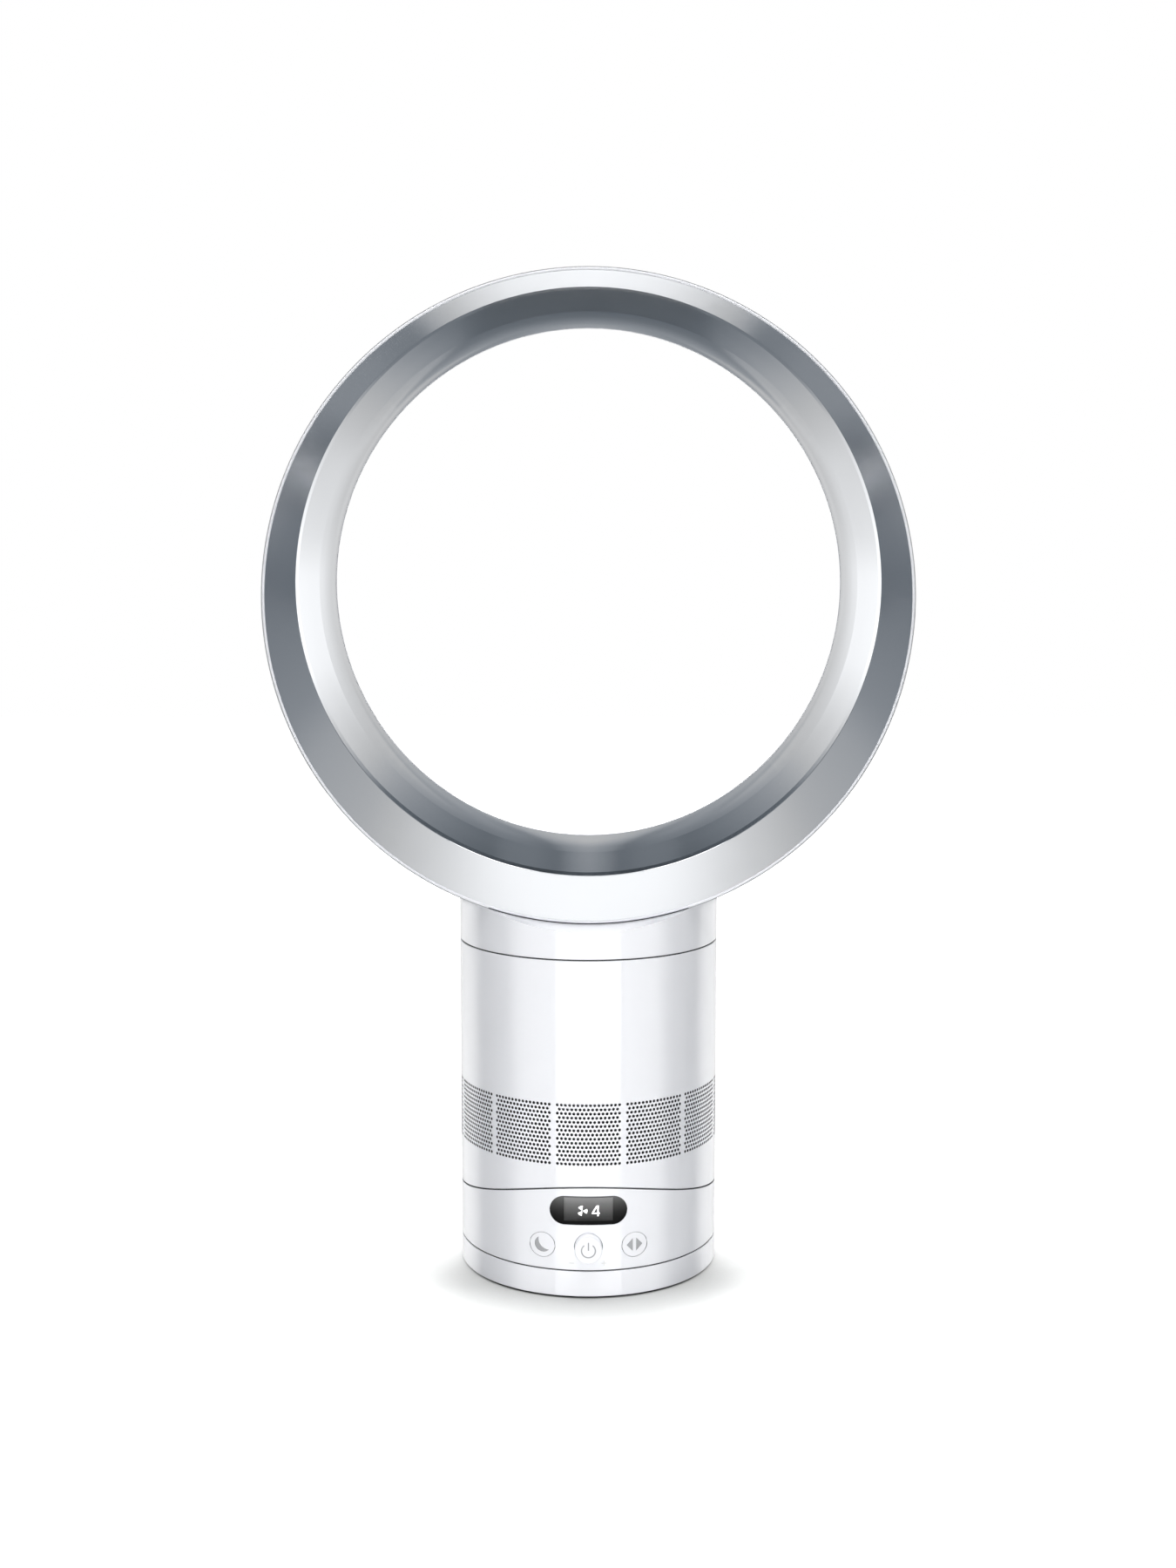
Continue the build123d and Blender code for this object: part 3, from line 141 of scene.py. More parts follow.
# Perforated inlet: rows of staggered holes in panels, one column left out between panels
hole_radius = 0.00082
hole_sides = 12
grille_rows = 15
grille_panels = 12
panel_columns = 17
panel_holes = 16
row_pitch = 0.002316
lowest_row = 0.0749
half_steps = 2 * panel_columns * grille_panels

# Printed signs
ink_lift = 0.00003
ink_thickness = 0.00008
sign_steps = 24
sign_columns = 4
sign_stroke = 0.00072
power_radius = 0.0041
power_opening = radians(37)
power_bar = (0.0001, 0.0046)
moon_tips = ((-0.002, 0.0042), (0.0035, -0.0026))
moon_outer = 0.0051
moon_inner = 0.0021
arrow_base = 0.00095
arrow_tip = 0.0043
arrow_half_height = 0.0036
sign_height = 0.0197
minus_x = -0.0091
plus_x = 0.0084
sign_arm = 0.00135
faint_stroke = 0.0004

# Display
screen_width = 0.0266
screen_height = 0.013
screen_rise = 0.0007
fan_x = -0.0033
fan_blades = 3
fan_radius = 0.0028
fan_lean = radians(-24)
blade_middle = 0.55 * fan_radius
blade_length = 0.9 * fan_radius
blade_spread = radians(30)
digit_x = 0.004
digit_width = 0.0043
digit_height = 0.006
digit_stroke = 0.0008
digit_stem_share = 0.55
digit_shelf_share = 0.45
slant_foot_shares = (0.6, 0.5)
slant_head_shares = (0.55, 0.2)

# Finishes: colours are linear, roughness and strength run from a low to a high value
white = (1, 1, 1, 1)
black = (0, 0, 0, 1)
mottle_coarseness = 12
gloss_spread = 0.15
glass_roughness = (0.05, 0.09)
glass_specular = 0.02
lit_base = (0.8, 0.8, 0.8, 1)
lit_strength = (0.85, 1.0)
lit_grid = 6000
floor_colour = (0.86, 0.87, 0.86, 1)
floor_roughness = 0.9

# Camera that took the photograph
camera_place = (0, -1.06606, 0.39307)
camera_tilt = 0.11238
camera_lens = 43.614
camera_sensor = 36
camera_shift = -0.00028

# Cards that only reflections see: a sleeve round the pedestal and the studio's floor, wall and ceiling
card_step = 5
dim_below = 0.6
dim_tint = (0.68, 0.83, 1)
sleeve_gap = 0.001
sleeve_distance = 0.06
sleeve_height = 0.209
rim_sleeve_height = 0.199
floor_gap = 0.004
near_floor_gap = 0.006
wall_distance = 1.7
ceiling_distance = 0.3
ceiling_height = 4.2
top_card_height = 3.9


# Materials

def node_tree(name):
    """A new material with its tree, its surface shader and its object coordinates."""
    material = bpy.data.materials.new(name)
    material.use_nodes = True
    tree = material.node_tree
    shader = tree.nodes["Principled BSDF"]
    place = tree.nodes.new("ShaderNodeTexCoord").outputs["Object"]
    return material, tree, shader, place


def noise(tree, place, scale, detail=3.0):
    """A noise texture's value at a scale in cells per metre."""
    texture = tree.nodes.new("ShaderNodeTexNoise")
    texture.inputs["Scale"].default_value = scale
    texture.inputs["Detail"].default_value = detail
    tree.links.new(place, texture.inputs["Vector"])
    return texture.outputs["Fac"]


def spread(tree, value, low, high):
    """A value from 0 to 1 spread between two numbers."""
    mapped = tree.nodes.new("ShaderNodeMapRange")
    mapped.inputs["To Min"].default_value = low
    mapped.inputs["To Max"].default_value = high
    tree.links.new(value, mapped.inputs["Value"])
    return mapped.outputs["Result"]


def product(tree, one, other):
    """Two values multiplied."""
    multiply = tree.nodes.new("ShaderNodeMath")
    multiply.operation = "MULTIPLY"
    tree.links.new(one, multiply.inputs[0])
    tree.links.new(other, multiply.inputs[1])
    return multiply.outputs["Value"]


def blend_colours(tree, value, low, high):
    """A colour between two others, chosen by a value."""
    ramp = tree.nodes.new("ShaderNodeValToRGB")
    ramp.color_ramp.elements[0].color = (*low, 1)
    ramp.color_ramp.elements[1].color = (*high, 1)
    tree.links.new(value, ramp.inputs["Fac"])
    return ramp.outputs["Color"]


def relief(tree, value, depth, shader):
    """A bump of a depth in metres under a shader."""
    bump = tree.nodes.new("ShaderNodeBump")
    bump.inputs["Distance"].default_value = depth
    tree.links.new(value, bump.inputs["Height"])
    tree.links.new(bump.outputs["Normal"], shader.inputs["Normal"])


def moulded(name, colour, roughness, grain, depth, shade=0.03, metallic=0.0, specular=0.5):
    """A moulded, printed or machined surface: a faint mottle, uneven gloss and a fine grain.

    The grain is in cells per metre and its depth in metres. The shade is the share of the colour
    that the coarser mottle takes away.
    """
    material, tree, shader, place = node_tree(name)
    darker = tuple(channel * (1 - shade) for channel in colour)
    mottle = noise(tree, place, grain / mottle_coarseness)
    tree.links.new(blend_colours(tree, mottle, darker, colour), shader.inputs["Base Color"])
    fine = noise(tree, place, grain)
    gloss = spread(tree, fine, roughness * (1 - gloss_spread), roughness * (1 + gloss_spread))
    tree.links.new(gloss, shader.inputs["Roughness"])
    relief(tree, fine, depth, shader)
    shader.inputs["Metallic"].default_value = metallic
    shader.inputs["Specular IOR Level"].default_value = specular
    return material


def silver_paint(dark, pale, flake_scale, cloud_scale, roughness, depth):
    """Silver paint: metal flakes of differing brightness under a smooth lacquer."""
    material, tree, shader, place = node_tree("silver_paint")
    flakes = tree.nodes.new("ShaderNodeTexVoronoi")
    flakes.inputs["Scale"].default_value = flake_scale
    tree.links.new(place, flakes.inputs["Vector"])
    colour = blend_colours(tree, flakes.outputs["Distance"], dark, pale)
    tree.links.new(colour, shader.inputs["Base Color"])
    cloud = noise(tree, place, cloud_scale)
    tree.links.new(spread(tree, cloud, *roughness), shader.inputs["Roughness"])
    relief(tree, flakes.outputs["Distance"], depth, shader)
    shader.inputs["Metallic"].default_value = 1.0
    return material


def window_glass(name, low, high, curve, grain):
    """Dark display glass that hardly reflects, with a painted reflection in its colour: paler towards the
    top, by a power of the height.
    """
    material, tree, shader, place = node_tree(name)
    split = tree.nodes.new("ShaderNodeSeparateXYZ")
    tree.links.new(place, split.inputs["Vector"])
    bottom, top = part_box("display_window")
    height = tree.nodes.new("ShaderNodeMapRange")
    height.inputs["From Min"].default_value = bottom[2]
    height.inputs["From Max"].default_value = top[2]
    tree.links.new(split.outputs["Z"], height.inputs["Value"])
    bend = tree.nodes.new("ShaderNodeMath")
    bend.operation = "POWER"
    bend.inputs[1].default_value = curve
    tree.links.new(height.outputs["Result"], bend.inputs[0])
    # Painted reflection: the glass's colour grows paler towards the top
    tint = blend_colours(tree, bend.outputs["Value"], (low, low, low), (high, high, high))
    tree.links.new(tint, shader.inputs["Base Color"])
    haze = noise(tree, place, grain)
    tree.links.new(spread(tree, haze, *glass_roughness), shader.inputs["Roughness"])
    shader.inputs["Specular IOR Level"].default_value = glass_specular
    return material


def glowing_sign():
    """White lit segments of the display."""
    material, tree, shader, place = node_tree("glowing_sign")
    grid = noise(tree, place, lit_grid)
    tree.links.new(spread(tree, grid, *lit_strength), shader.inputs["Emission Strength"])
    shader.inputs["Emission Color"].default_value = white
    shader.inputs["Base Color"].default_value = lit_base
    return material


def laminated_steel(dark, pale, sheet_scale, grain, roughness, depth, metallic):
    """A stack of thin steel sheets, one on the other."""
    material, tree, shader, place = node_tree("laminated_steel")
    sheets = tree.nodes.new("ShaderNodeTexWave")
    sheets.bands_direction = "Z"
    sheets.inputs["Scale"].default_value = sheet_scale
    tree.links.new(place, sheets.inputs["Vector"])
    colour = blend_colours(tree, sheets.outputs["Fac"], dark, pale)
    tree.links.new(colour, shader.inputs["Base Color"])
    tree.links.new(spread(tree, noise(tree, place, grain), *roughness), shader.inputs["Roughness"])
    relief(tree, sheets.outputs["Fac"], depth, shader)
    shader.inputs["Metallic"].default_value = metallic
    return material


def board_green(dark, pale, area_scale, grain, roughness, depth):
    """A circuit board: solder mask over paler copper areas."""
    material, tree, shader, place = node_tree("board_green")
    areas = tree.nodes.new("ShaderNodeTexVoronoi")
    areas.distance = "CHEBYCHEV"
    areas.feature = "F2"
    areas.inputs["Scale"].default_value = area_scale
    tree.links.new(place, areas.inputs["Vector"])
    colour = blend_colours(tree, areas.outputs["Distance"], dark, pale)
    tree.links.new(colour, shader.inputs["Base Color"])
    tree.links.new(spread(tree, noise(tree, place, grain), *roughness), shader.inputs["Roughness"])
    relief(tree, areas.outputs["Distance"], depth, shader)
    return material


finishes = {
    "white_gloss": dict(colour=(0.82, 0.828, 0.868), roughness=0.09, grain=600, depth=0.0000012, shade=0.012),
    "button_white": dict(colour=(0.83, 0.836, 0.872), roughness=0.14, grain=900, depth=0.000002, shade=0.012),
    "grey_plastic": dict(colour=(0.36, 0.365, 0.375), roughness=0.45, grain=1800, depth=0.00001),
    "dark_plastic": dict(colour=(0.045, 0.046, 0.05), roughness=0.5, grain=1800, depth=0.00001, shade=0.1),
    "acetal": dict(colour=(0.72, 0.71, 0.68), roughness=0.35, grain=1200, depth=0.000005),
    "rubber": dict(colour=(0.028, 0.028, 0.03), roughness=0.75, grain=2500, depth=0.00002, shade=0.15),
    "steel": dict(colour=(0.52, 0.52, 0.53), roughness=0.32, grain=2200, depth=0.000004, shade=0.08,
                  metallic=1.0),
    "bearing_steel": dict(colour=(0.62, 0.62, 0.63), roughness=0.16, grain=2600, depth=0.000002, shade=0.05,
                          metallic=1.0),
    "magnet": dict(colour=(0.10, 0.10, 0.105), roughness=0.4, grain=1600, depth=0.000006, shade=0.1,
                   metallic=0.6),
}
materials = {name: moulded(name, **finish) for name, finish in finishes.items()}
materials["silver_paint"] = silver_paint(
    dark=(0.72, 0.735, 0.76), pale=(0.77, 0.785, 0.805), flake_scale=3500, cloud_scale=40,
    roughness=(0.12, 0.16), depth=0.000002)
# The display window and the screen behind it carry a painted reflection, paler towards the top
materials["window_black"] = window_glass("window_black", low=0.001, high=0.16, curve=2.5, grain=900)
materials["screen_glass"] = window_glass("screen_glass", low=0.012, high=0.29, curve=1.35, grain=4000)
materials["laminated_steel"] = laminated_steel(
    dark=(0.16, 0.16, 0.17), pale=(0.42, 0.42, 0.43), sheet_scale=320, grain=1500,
    roughness=(0.35, 0.5), depth=0.00005, metallic=0.9)
materials["board_green"] = board_green(
    dark=(0.01, 0.09, 0.04), pale=(0.03, 0.19, 0.09), area_scale=350, grain=2000,
    roughness=(0.25, 0.4), depth=0.00003)
ink = dict(roughness=0.4, grain=3000, depth=0.000001, shade=0.04, specular=0.1)
sign_ink = moulded("sign_ink", (0.4, 0.405, 0.42), **ink)
faint_ink = moulded("faint_ink", (0.66, 0.67, 0.66), **ink)
sign_light = glowing_sign()

for node in nodes.values():
    for material_slot in node.material_slots:
        material_slot.material = materials[material_slot.material.name.split(".")[0]]


# Pieces

def mesh_piece(name, points, faces, material, body):
    """A mesh object that rides on a body, with the material it is given."""
    mesh = bpy.data.meshes.new(name)
    mesh.from_pydata(points, [], faces)
    mesh.materials.append(material)
    piece = bpy.data.objects.new(name, mesh)
    bpy.context.scene.collection.objects.link(piece)
    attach(piece, body)
    return piece


class Shell:
    """Rings of points round the pedestal's axis, and the skins between them."""

    def __init__(self):
        self.points = []
        self.faces = []
        self.upright = []

    def point(self, radius, step, height):
        """A new point at a number of half columns from the front panel's first hole."""
        turn = (step - panel_holes + 1) * tau / half_steps
        self.points.append((radius * sin(turn), -radius * cos(turn), height))
        return len(self.points) - 1

    def ring(self, radius, height):
        """A ring of points at a height, which may depend on the depth."""
        ring = []
        for step in range(half_steps):
            index = self.point(radius, step, 0)
            x, y, _ = self.points[index]
            self.points[index] = (x, y, height(y) if callable(height) else height)
            ring.append(index)
        return ring

    def face(self, corners, upright=False):
        """A face, noted where it lies on a cylinder about the pedestal's axis."""
        self.faces.append(corners)
        self.upright.append(upright)

    def skin(self, first, second, upright=False):
        """Faces between two rings."""
        for step in range(half_steps):
            after = (step + 1) % half_steps
            self.face((first[step], first[after], second[after], second[step]), upright)

    def hole(self, radius, step, height):
        """The rim of a hole, anticlockwise as seen from outside."""
        rim = []
        for side in range(hole_sides):
            turn = tau * side / hole_sides
            across = hole_radius * cos(turn) / pedestal_radius * half_steps / tau
            rim.append(self.point(radius, step + across, height + hole_radius * sin(turn)))
        return rim

    def pierced_cell(self, lower, upper, step, rim, inward):
        """The faces between one cell's border and its hole."""
        before = (step - 1) % half_steps
        after = (step + 1) % half_steps
        border = (lower[after], upper[after], upper[step], upper[before], lower[before], lower[step])
        stretch = hole_sides // len(border)
        first_side = -1
        for place in range(len(border)):
            last_side = first_side + stretch
            sides = [rim[side % hole_sides] for side in range(last_side, first_side - 1, -1)]
            corners = [border[place], border[(place + 1) % len(border)], *sides]
            self.face(corners[::-1] if inward else corners, True)
            first_side = last_side

    def plain_cell(self, lower, upper, step, inward):
        """The two faces of a cell without a hole."""
        before = (step - 1) % half_steps
        after = (step + 1) % half_steps
        for left, right in ((before, step), (step, after)):
            corners = (lower[left], lower[right], upper[right], upper[left])
            self.face(corners[::-1] if inward else corners, True)

    def wall(self, outer, inner):
        """The inside of a hole."""
        for side in range(hole_sides):
            after = (side + 1) % hole_sides
            self.face((outer[side], outer[after], inner[after], inner[side]))


def rocking_edge(y):
    """Height of the tower's lower edge at a depth."""
    return tilt_axis_z - sqrt(rocker_radius**2 - y**2)


def shell_piece(name, shell, body, slot):
    """A smooth piece made of a shell's skins, shaded as true cylinders where they are upright."""
    piece = mesh_piece(name, shell.points, shell.faces, materials[slot], body)
    mesh = piece.data
    mesh.shade_smooth()
    mesh.set_sharp_from_angle(angle=sharp_angle)
    normals = [Vector()] * len(mesh.loops)
    for face, upright in zip(mesh.polygons, shell.upright):
        if upright:
            for corner in face.loop_indices:
                x, y, _ = mesh.vertices[mesh.loops[corner].vertex_index].co
                side = 1 if face.normal.x * x + face.normal.y * y > 0 else -1
                normals[corner] = Vector((side * x, side * y, 0)).normalized()
    mesh.normals_split_custom_set(normals)
    return piece


def tower_shell():
    """The tower's tube with its rocking lower edge and its perforated inlet, with painted shade inside the
    holes: their walls and the tube's inside behind them are dark plastic.
    """
    shell = Shell()
    shade_lining = Shell()
    inner_radius = pedestal_radius - wall_thickness
    borders = [lowest_row + (row - 0.5) * row_pitch for row in range(grille_rows + 1)]
    outer = [shell.ring(pedestal_radius, border) for border in borders]
    inner = [shade_lining.ring(inner_radius, border) for border in borders]
    for row in range(grille_rows):
        height = lowest_row + row * row_pitch
        stagger = row % 2
        for column in range(half_steps // 2):
            step = (2 * column + stagger) % half_steps
            outer_border = (outer[row], outer[row + 1], step)
            inner_border = (inner[row], inner[row + 1], step)
            if column % panel_columns < panel_holes - stagger:
                shell.pierced_cell(*outer_border, shell.hole(pedestal_radius, step, height), False)
                mouth = shade_lining.hole(pedestal_radius, step, height)
                inner_rim = shade_lining.hole(inner_radius, step, height)
                shade_lining.pierced_cell(*inner_border, inner_rim, True)
                shade_lining.wall(mouth, inner_rim)
            else:
                shell.plain_cell(*outer_border, False)
                shade_lining.plain_cell(*inner_border, True)

    lower_rim = shell.ring(pedestal_radius, lambda y: rocking_edge(y) + rim_round)
    shell.skin(lower_rim, outer[0], True)
    upper_rim = shell.ring(pedestal_radius, tower_top - seam_round)
    shell.skin(outer[-1], upper_rim, True)
    for turn in seam_round_turns:
        radius = pedestal_radius - seam_round * (1 - cos(turn))
        ring = shell.ring(radius, tower_top - seam_round * (1 - sin(turn)))
        shell.skin(upper_rim, ring)
        upper_rim = ring
    inside = [
        (inner_radius, tower_top),
        (inner_radius, bayonet_bottom),
        (inner_radius - ledge_width / 2, bayonet_bottom),
        (inner_radius - ledge_width / 2, bayonet_bottom - ledge_thickness),
        (inner_radius, bayonet_bottom - ledge_thickness),
        (inner_radius, ledge_top),
        (inner_radius - ledge_width, ledge_top),
        (inner_radius - ledge_width, borders[-1]),
        (inner_radius, borders[-1]),
    ]
    for radius, height in inside:
        ring = shell.ring(radius, height)
        shell.skin(upper_rim, ring)
        upper_rim = ring
    band_foot = shell.ring(inner_radius, borders[0])
    inner_rim = shell.ring(inner_radius, rocking_edge)
    shell.skin(band_foot, inner_rim, True)
    lower_round = shell.ring(pedestal_radius - rim_round, rocking_edge)
    shell.skin(inner_rim, lower_round)
    shell.skin(lower_round, lower_rim)
    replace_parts(shell_piece("tower_shell", shell, "tower", "white_gloss"), "tower_casing")
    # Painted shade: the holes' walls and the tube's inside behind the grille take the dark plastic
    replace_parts(shell_piece("inlet_shade", shade_lining, "tower", "dark_plastic"), "tower_casing")


def seam_shade(name, body, bottom, top):
    """A thin dark band round the pedestal in an open seam, a little behind its surface: painted shade in the
    gap.
    """
    shade_band = Shell()
    outside = pedestal_radius - seam_shade_setback
    inside = outside - seam_shade_width
    rings = [shade_band.ring(radius, height) for radius, height in (
        (outside, bottom), (outside, top), (inside, top), (inside, bottom))]
    for first, second in zip(rings, rings[1:] + rings[:1]):
        shade_band.skin(first, second)
    shell_piece(name, shade_band, body, "rubber")


def band(name, sections, body, slot, closed):
    """A smooth piece through a row of sections, each a loop of points."""
    points = [point for section in sections for point in section]
    corners = len(sections[0])
    count = len(sections)
    faces = []
    for place in range(count if closed else count - 1):
        for corner in range(corners):
            after = (corner + 1) % corners
            near = place * corners
            far = (place + 1) % count * corners
            faces.append((near + corner, near + after, far + after, far + corner))
    if not closed:
        faces.append(tuple(range(corners)))
        faces.append(tuple(range(len(points) - corners, len(points))))
    piece = mesh_piece(name, points, faces, materials[slot], body)
    shape = bmesh.new()
    shape.from_mesh(piece.data)
    bmesh.ops.recalc_face_normals(shape, faces=shape.faces)
    shape.to_mesh(piece.data)
    shape.free()
    piece.data.shade_smooth()
    piece.data.set_sharp_from_angle(angle=sharp_angle)


def facing(turn, slope):
    """The way a surface of the ring faces, from its slope at an angle from the top."""
    normal = Vector((cos(turn), 0, -sin(turn))).cross(slope).normalized()
    return -normal if normal.y > 0 else normal


def bevel_ends(turn):
    """The bevel's outer edge and its crease at an angle from the top."""
    spoke = Vector((sin(turn), 0, cos(turn)))
    edge = Vector((0, bevel_front, ring_z)) + spoke * bevel_radius
    crease = Vector((0, bevel_front + bevel_depth, ring_z + opening_rise)) + spoke * crease_radius
    return spoke, edge, crease


def crease_edge(turn):
    """The narrow band between the flare and the bevel at an angle from the top."""
    spoke, edge, crease = bevel_ends(turn)
    bevel = (edge - crease).normalized()
    flare = spoke * sin(flare_angle) - Vector((0, cos(flare_angle), 0))
    slope = flare.lerp(bevel, crease_share).normalized()
    depth = facing(turn, flare) * rim_thickness
    front = crease + facing(turn, slope) * crease_lift
    back = front - slope * crease_width
    return [back, front, front - depth, crease - flare * crease_width - depth]


def rim_edge(turn):
    """The way out from the ring's axis at an angle from the top, the bevel's rim and the lip's middle."""
    spoke, edge, crease = bevel_ends(turn)
    slope = edge - crease
    outward = facing(turn, slope)
    inside = edge - slope * rim_overlap
    outside = edge + slope * ((lip_start - bevel_radius) / slope.dot(spoke))
    section = [point + outward * lift for point, lift in (
        (inside, rim_lift), (outside, rim_lift), (outside, -rim_thickness), (inside, -rim_thickness))]
    return spoke, section, outside + spoke * lip_reach + Vector((0, lip_drop, 0))


def ring_trim():
    """The silver bevel's crease and rim, the white lip, a grey line round it that is painted shade on the
    lip's rounded edge, and a dark band under it that is a painted shadow where the lip meets the collar.
    """
    creases = []
    rim = []
    lip = []
    line = []
    for step in range(trim_steps):
        turn = tau * step / trim_steps
        creases.append(crease_edge(turn))
        spoke, section, middle = rim_edge(turn)
        rim.append(section)
        axis = Vector((0, middle.y, ring_z))
        line.append([axis + spoke * radius + Vector((0, depth, 0)) for radius, depth in (
            (line_inside, 0), (line_outside, 0), (line_outside, line_depth), (line_inside, line_depth))])
        sides = [tau * side / lip_sides for side in range(lip_sides)]
        lip.append([middle + lip_round * (spoke * cos(side) + Vector((0, sin(side), 0))) for side in sides])
    band("bevel_crease", creases, "loop", "silver_paint", True)
    band("bevel_rim", rim, "loop", "silver_paint", True)
    # The grey line round the lip is painted shade on its rounded outer edge
    band("lip_edge_shade", line, "loop", "grey_plastic", True)
    band("front_lip", lip, "loop", "white_gloss", True)
    # A dark band under the lip's bottom: a painted shadow where the ring meets the collar
    lip_shadow = []
    for step in range(lip_shadow_steps + 1):
        spoke, _, middle = rim_edge(pi + lip_shadow_turn * (2 * step / lip_shadow_steps - 1))
        axis = Vector((0, middle.y - lip_round + lip_shadow_front, ring_z))
        corners = [(0, 0), (lip_shadow_height, 0), (0, lip_shadow_depth)]
        lip_shadow.append([axis + spoke * (ring_radius - rise) + Vector((0, depth, 0)) for rise, depth in corners])
    band("lip_painted_shadow", lip_shadow, "loop", "rubber", False)


def seam_shades():
    """The dark lines between the base, the control section, the tower and the collar: painted shade in the
    open seams.
    """
    base_top = base_top_seam - seam
    seam_shade("swivel_seam_shade", "base", base_top, base_top + seam_shade_height)
    saddle_radius = rocker_radius + seam
    shade_radius = saddle_radius - seam_shade_height
    seam_shade("tilt_seam_shade", "control", lambda y: tilt_axis_z - sqrt(saddle_radius**2 - y**2),
              lambda y: tilt_axis_z - sqrt(shade_radius**2 - y**2))
    seam_shade("collar_seam_shade", "tower", tower_top, tower_top + seam_shade_height)


def arc(start, end, bulge):
    """Points of an arc between two points, bulging to the right of the way by a distance."""
    start, end = Vector(start), Vector(end)
    half = (end - start).length / 2
    radius = (half**2 + bulge**2) / (2 * bulge)
    along = (end - start).normalized()
    right = Vector((along.y, -along.x))
    centre = (start + end) / 2 - right * (radius - bulge)
    reach = atan2(half, radius - bulge)
    turns = [reach * (2 * step / sign_steps - 1) for step in range(sign_steps + 1)]
    return [centre + radius * (right * cos(turn) + along * sin(turn)) for turn in turns]


def bar(start, end, width):
    """The two long sides of a straight stroke."""
    start, end = Vector(start), Vector(end)
    along = (end - start).normalized()
    side = Vector((along.y, -along.x)) * width / 2
    middle = [start.lerp(end, step / sign_steps) for step in range(sign_steps + 1)]
    return [point - side for point in middle], [point + side for point in middle]


def sweep(centre, radius, width, first, last):
    """The two sides of a round stroke between two angles from straight up, clockwise."""
    turns = [first + (last - first) * step / sign_steps for step in range(sign_steps + 1)]
    spokes = [Vector((sin(turn), cos(turn))) for turn in turns]
    centre = Vector(centre)
    inside = [centre + spoke * (radius - width / 2) for spoke in spokes]
    return inside, [centre + spoke * (radius + width / 2) for spoke in spokes]


def on_pedestal(x, z):
    """A point of ink on the pedestal's front."""
    return (x, -sqrt(pedestal_radius**2 - x**2) - ink_lift, z)


def on_knob(x, z):
    """A point of ink on the knob's flat face."""
    return (x, knob_face - ink_lift, z)


def sign(name, strokes, centre, place, material, body):
    """A printed sign: strokes between pairs of sides, laid on a surface and sunk a little into it."""
    points = []
    faces = []
    row_points = sign_columns + 1
    for left, right in strokes:
        start = len(points)
        for one, other in zip(left, right):
            for column in range(row_points):
                x, z = one.lerp(other, column / sign_columns)
                points.append(place(centre.x + x, centre.z + z))
        for row in range(len(left) - 1):
            for column in range(sign_columns):
                corner = start + row * row_points + column
                faces.append((corner, corner + 1, corner + row_points + 1, corner + row_points))
    piece = mesh_piece(name, points, faces, material, body)
    piece.data.shade_smooth()
    thickness = piece.modifiers.new("thickness", "SOLIDIFY")
    thickness.thickness = ink_thickness
    thickness.offset = -1
    if sum(face.normal.y for face in piece.data.polygons) > 0:
        piece.data.flip_normals()


def printed_signs():
    """The signs on the knob, the two buttons and beside the knob."""
    knob = box_centre("power_knob")
    ring = sweep((0, 0), power_radius - sign_stroke / 2, sign_stroke, power_opening, tau - power_opening)
    stem = bar((0, power_bar[0]), (0, power_bar[1]), sign_stroke)
    sign("power_sign", [ring, stem], knob, on_knob, sign_ink, "knob")

    first, last = moon_tips
    moon = (arc(first, last, moon_outer), arc(first, last, moon_inner))
    sign("moon_sign", [moon], box_centre("sleep_button"), on_pedestal, sign_ink, "sleep")

    arrows = []
    for side in (-1, 1):
        upper = bar((side * arrow_base, arrow_half_height), (side * arrow_tip, 0), 0)[0]
        lower = bar((side * arrow_base, -arrow_half_height), (side * arrow_tip, 0), 0)[0]
        arrows.append((upper[:-1], lower[:-1]))
    sign("arrows_sign", arrows, box_centre("swing_button"), on_pedestal, sign_ink, "swing")

    minus = Vector((minus_x, 0, sign_height))
    plus = Vector((plus_x, 0, sign_height))
    across = bar((-sign_arm, 0), (sign_arm, 0), faint_stroke)
    upper = bar((0, faint_stroke / 2), (0, sign_arm), faint_stroke)
    lower = bar((0, -sign_arm), (0, -faint_stroke / 2), faint_stroke)
    sign("minus_sign", [across], minus, on_pedestal, faint_ink, "control")
    sign("plus_sign", [across, upper, lower], plus, on_pedestal, faint_ink, "control")


def display_signs():
    """The screen in the window, pale grey with a painted reflection, with a fan sign and the speed."""
    window = box_centre("display_window")
    screen = bar((-screen_width / 2, screen_rise), (screen_width / 2, screen_rise), screen_height)
    # The screen's paler grey is a painted reflection
    sign("screen_reflection", [screen], window, on_pedestal, materials["screen_glass"], "control")

    blades = []
    for blade in range(fan_blades):
        lean = fan_lean + tau * blade / fan_blades
        blades.append(sweep((0, 0), blade_middle, blade_length, lean - blade_spread, lean + blade_spread))
    fan = window + Vector((fan_x, 0, 0))
    sign("fan_sign", blades, fan, on_pedestal, sign_light, "control")

    half_width = digit_width / 2
    half_height = digit_height / 2
    stem_x = half_width * digit_stem_share
    shelf = -half_height * digit_shelf_share
    stem = bar((stem_x, -half_height), (stem_x, half_height), digit_stroke)
    shelf_left = bar((-half_width, shelf), (stem_x - digit_stroke / 2, shelf), digit_stroke)
    shelf_right = bar((stem_x + digit_stroke / 2, shelf), (half_width, shelf), digit_stroke)
    foot_x, foot_z = (digit_stroke * share for share in slant_foot_shares)
    head_x, head_z = (digit_stroke * share for share in slant_head_shares)
    slant = bar((-half_width + foot_x, shelf + foot_z), (stem_x - head_x, half_height - head_z), digit_stroke)
    digit = window + Vector((digit_x, 0, 0))
    strokes = [stem, shelf_left, shelf_right, slant]
    sign("digit_sign", strokes, digit, on_pedestal, sign_light, "control")


tower_shell()
seam_shades()
ring_trim()
printed_signs()
display_signs()


# Studio

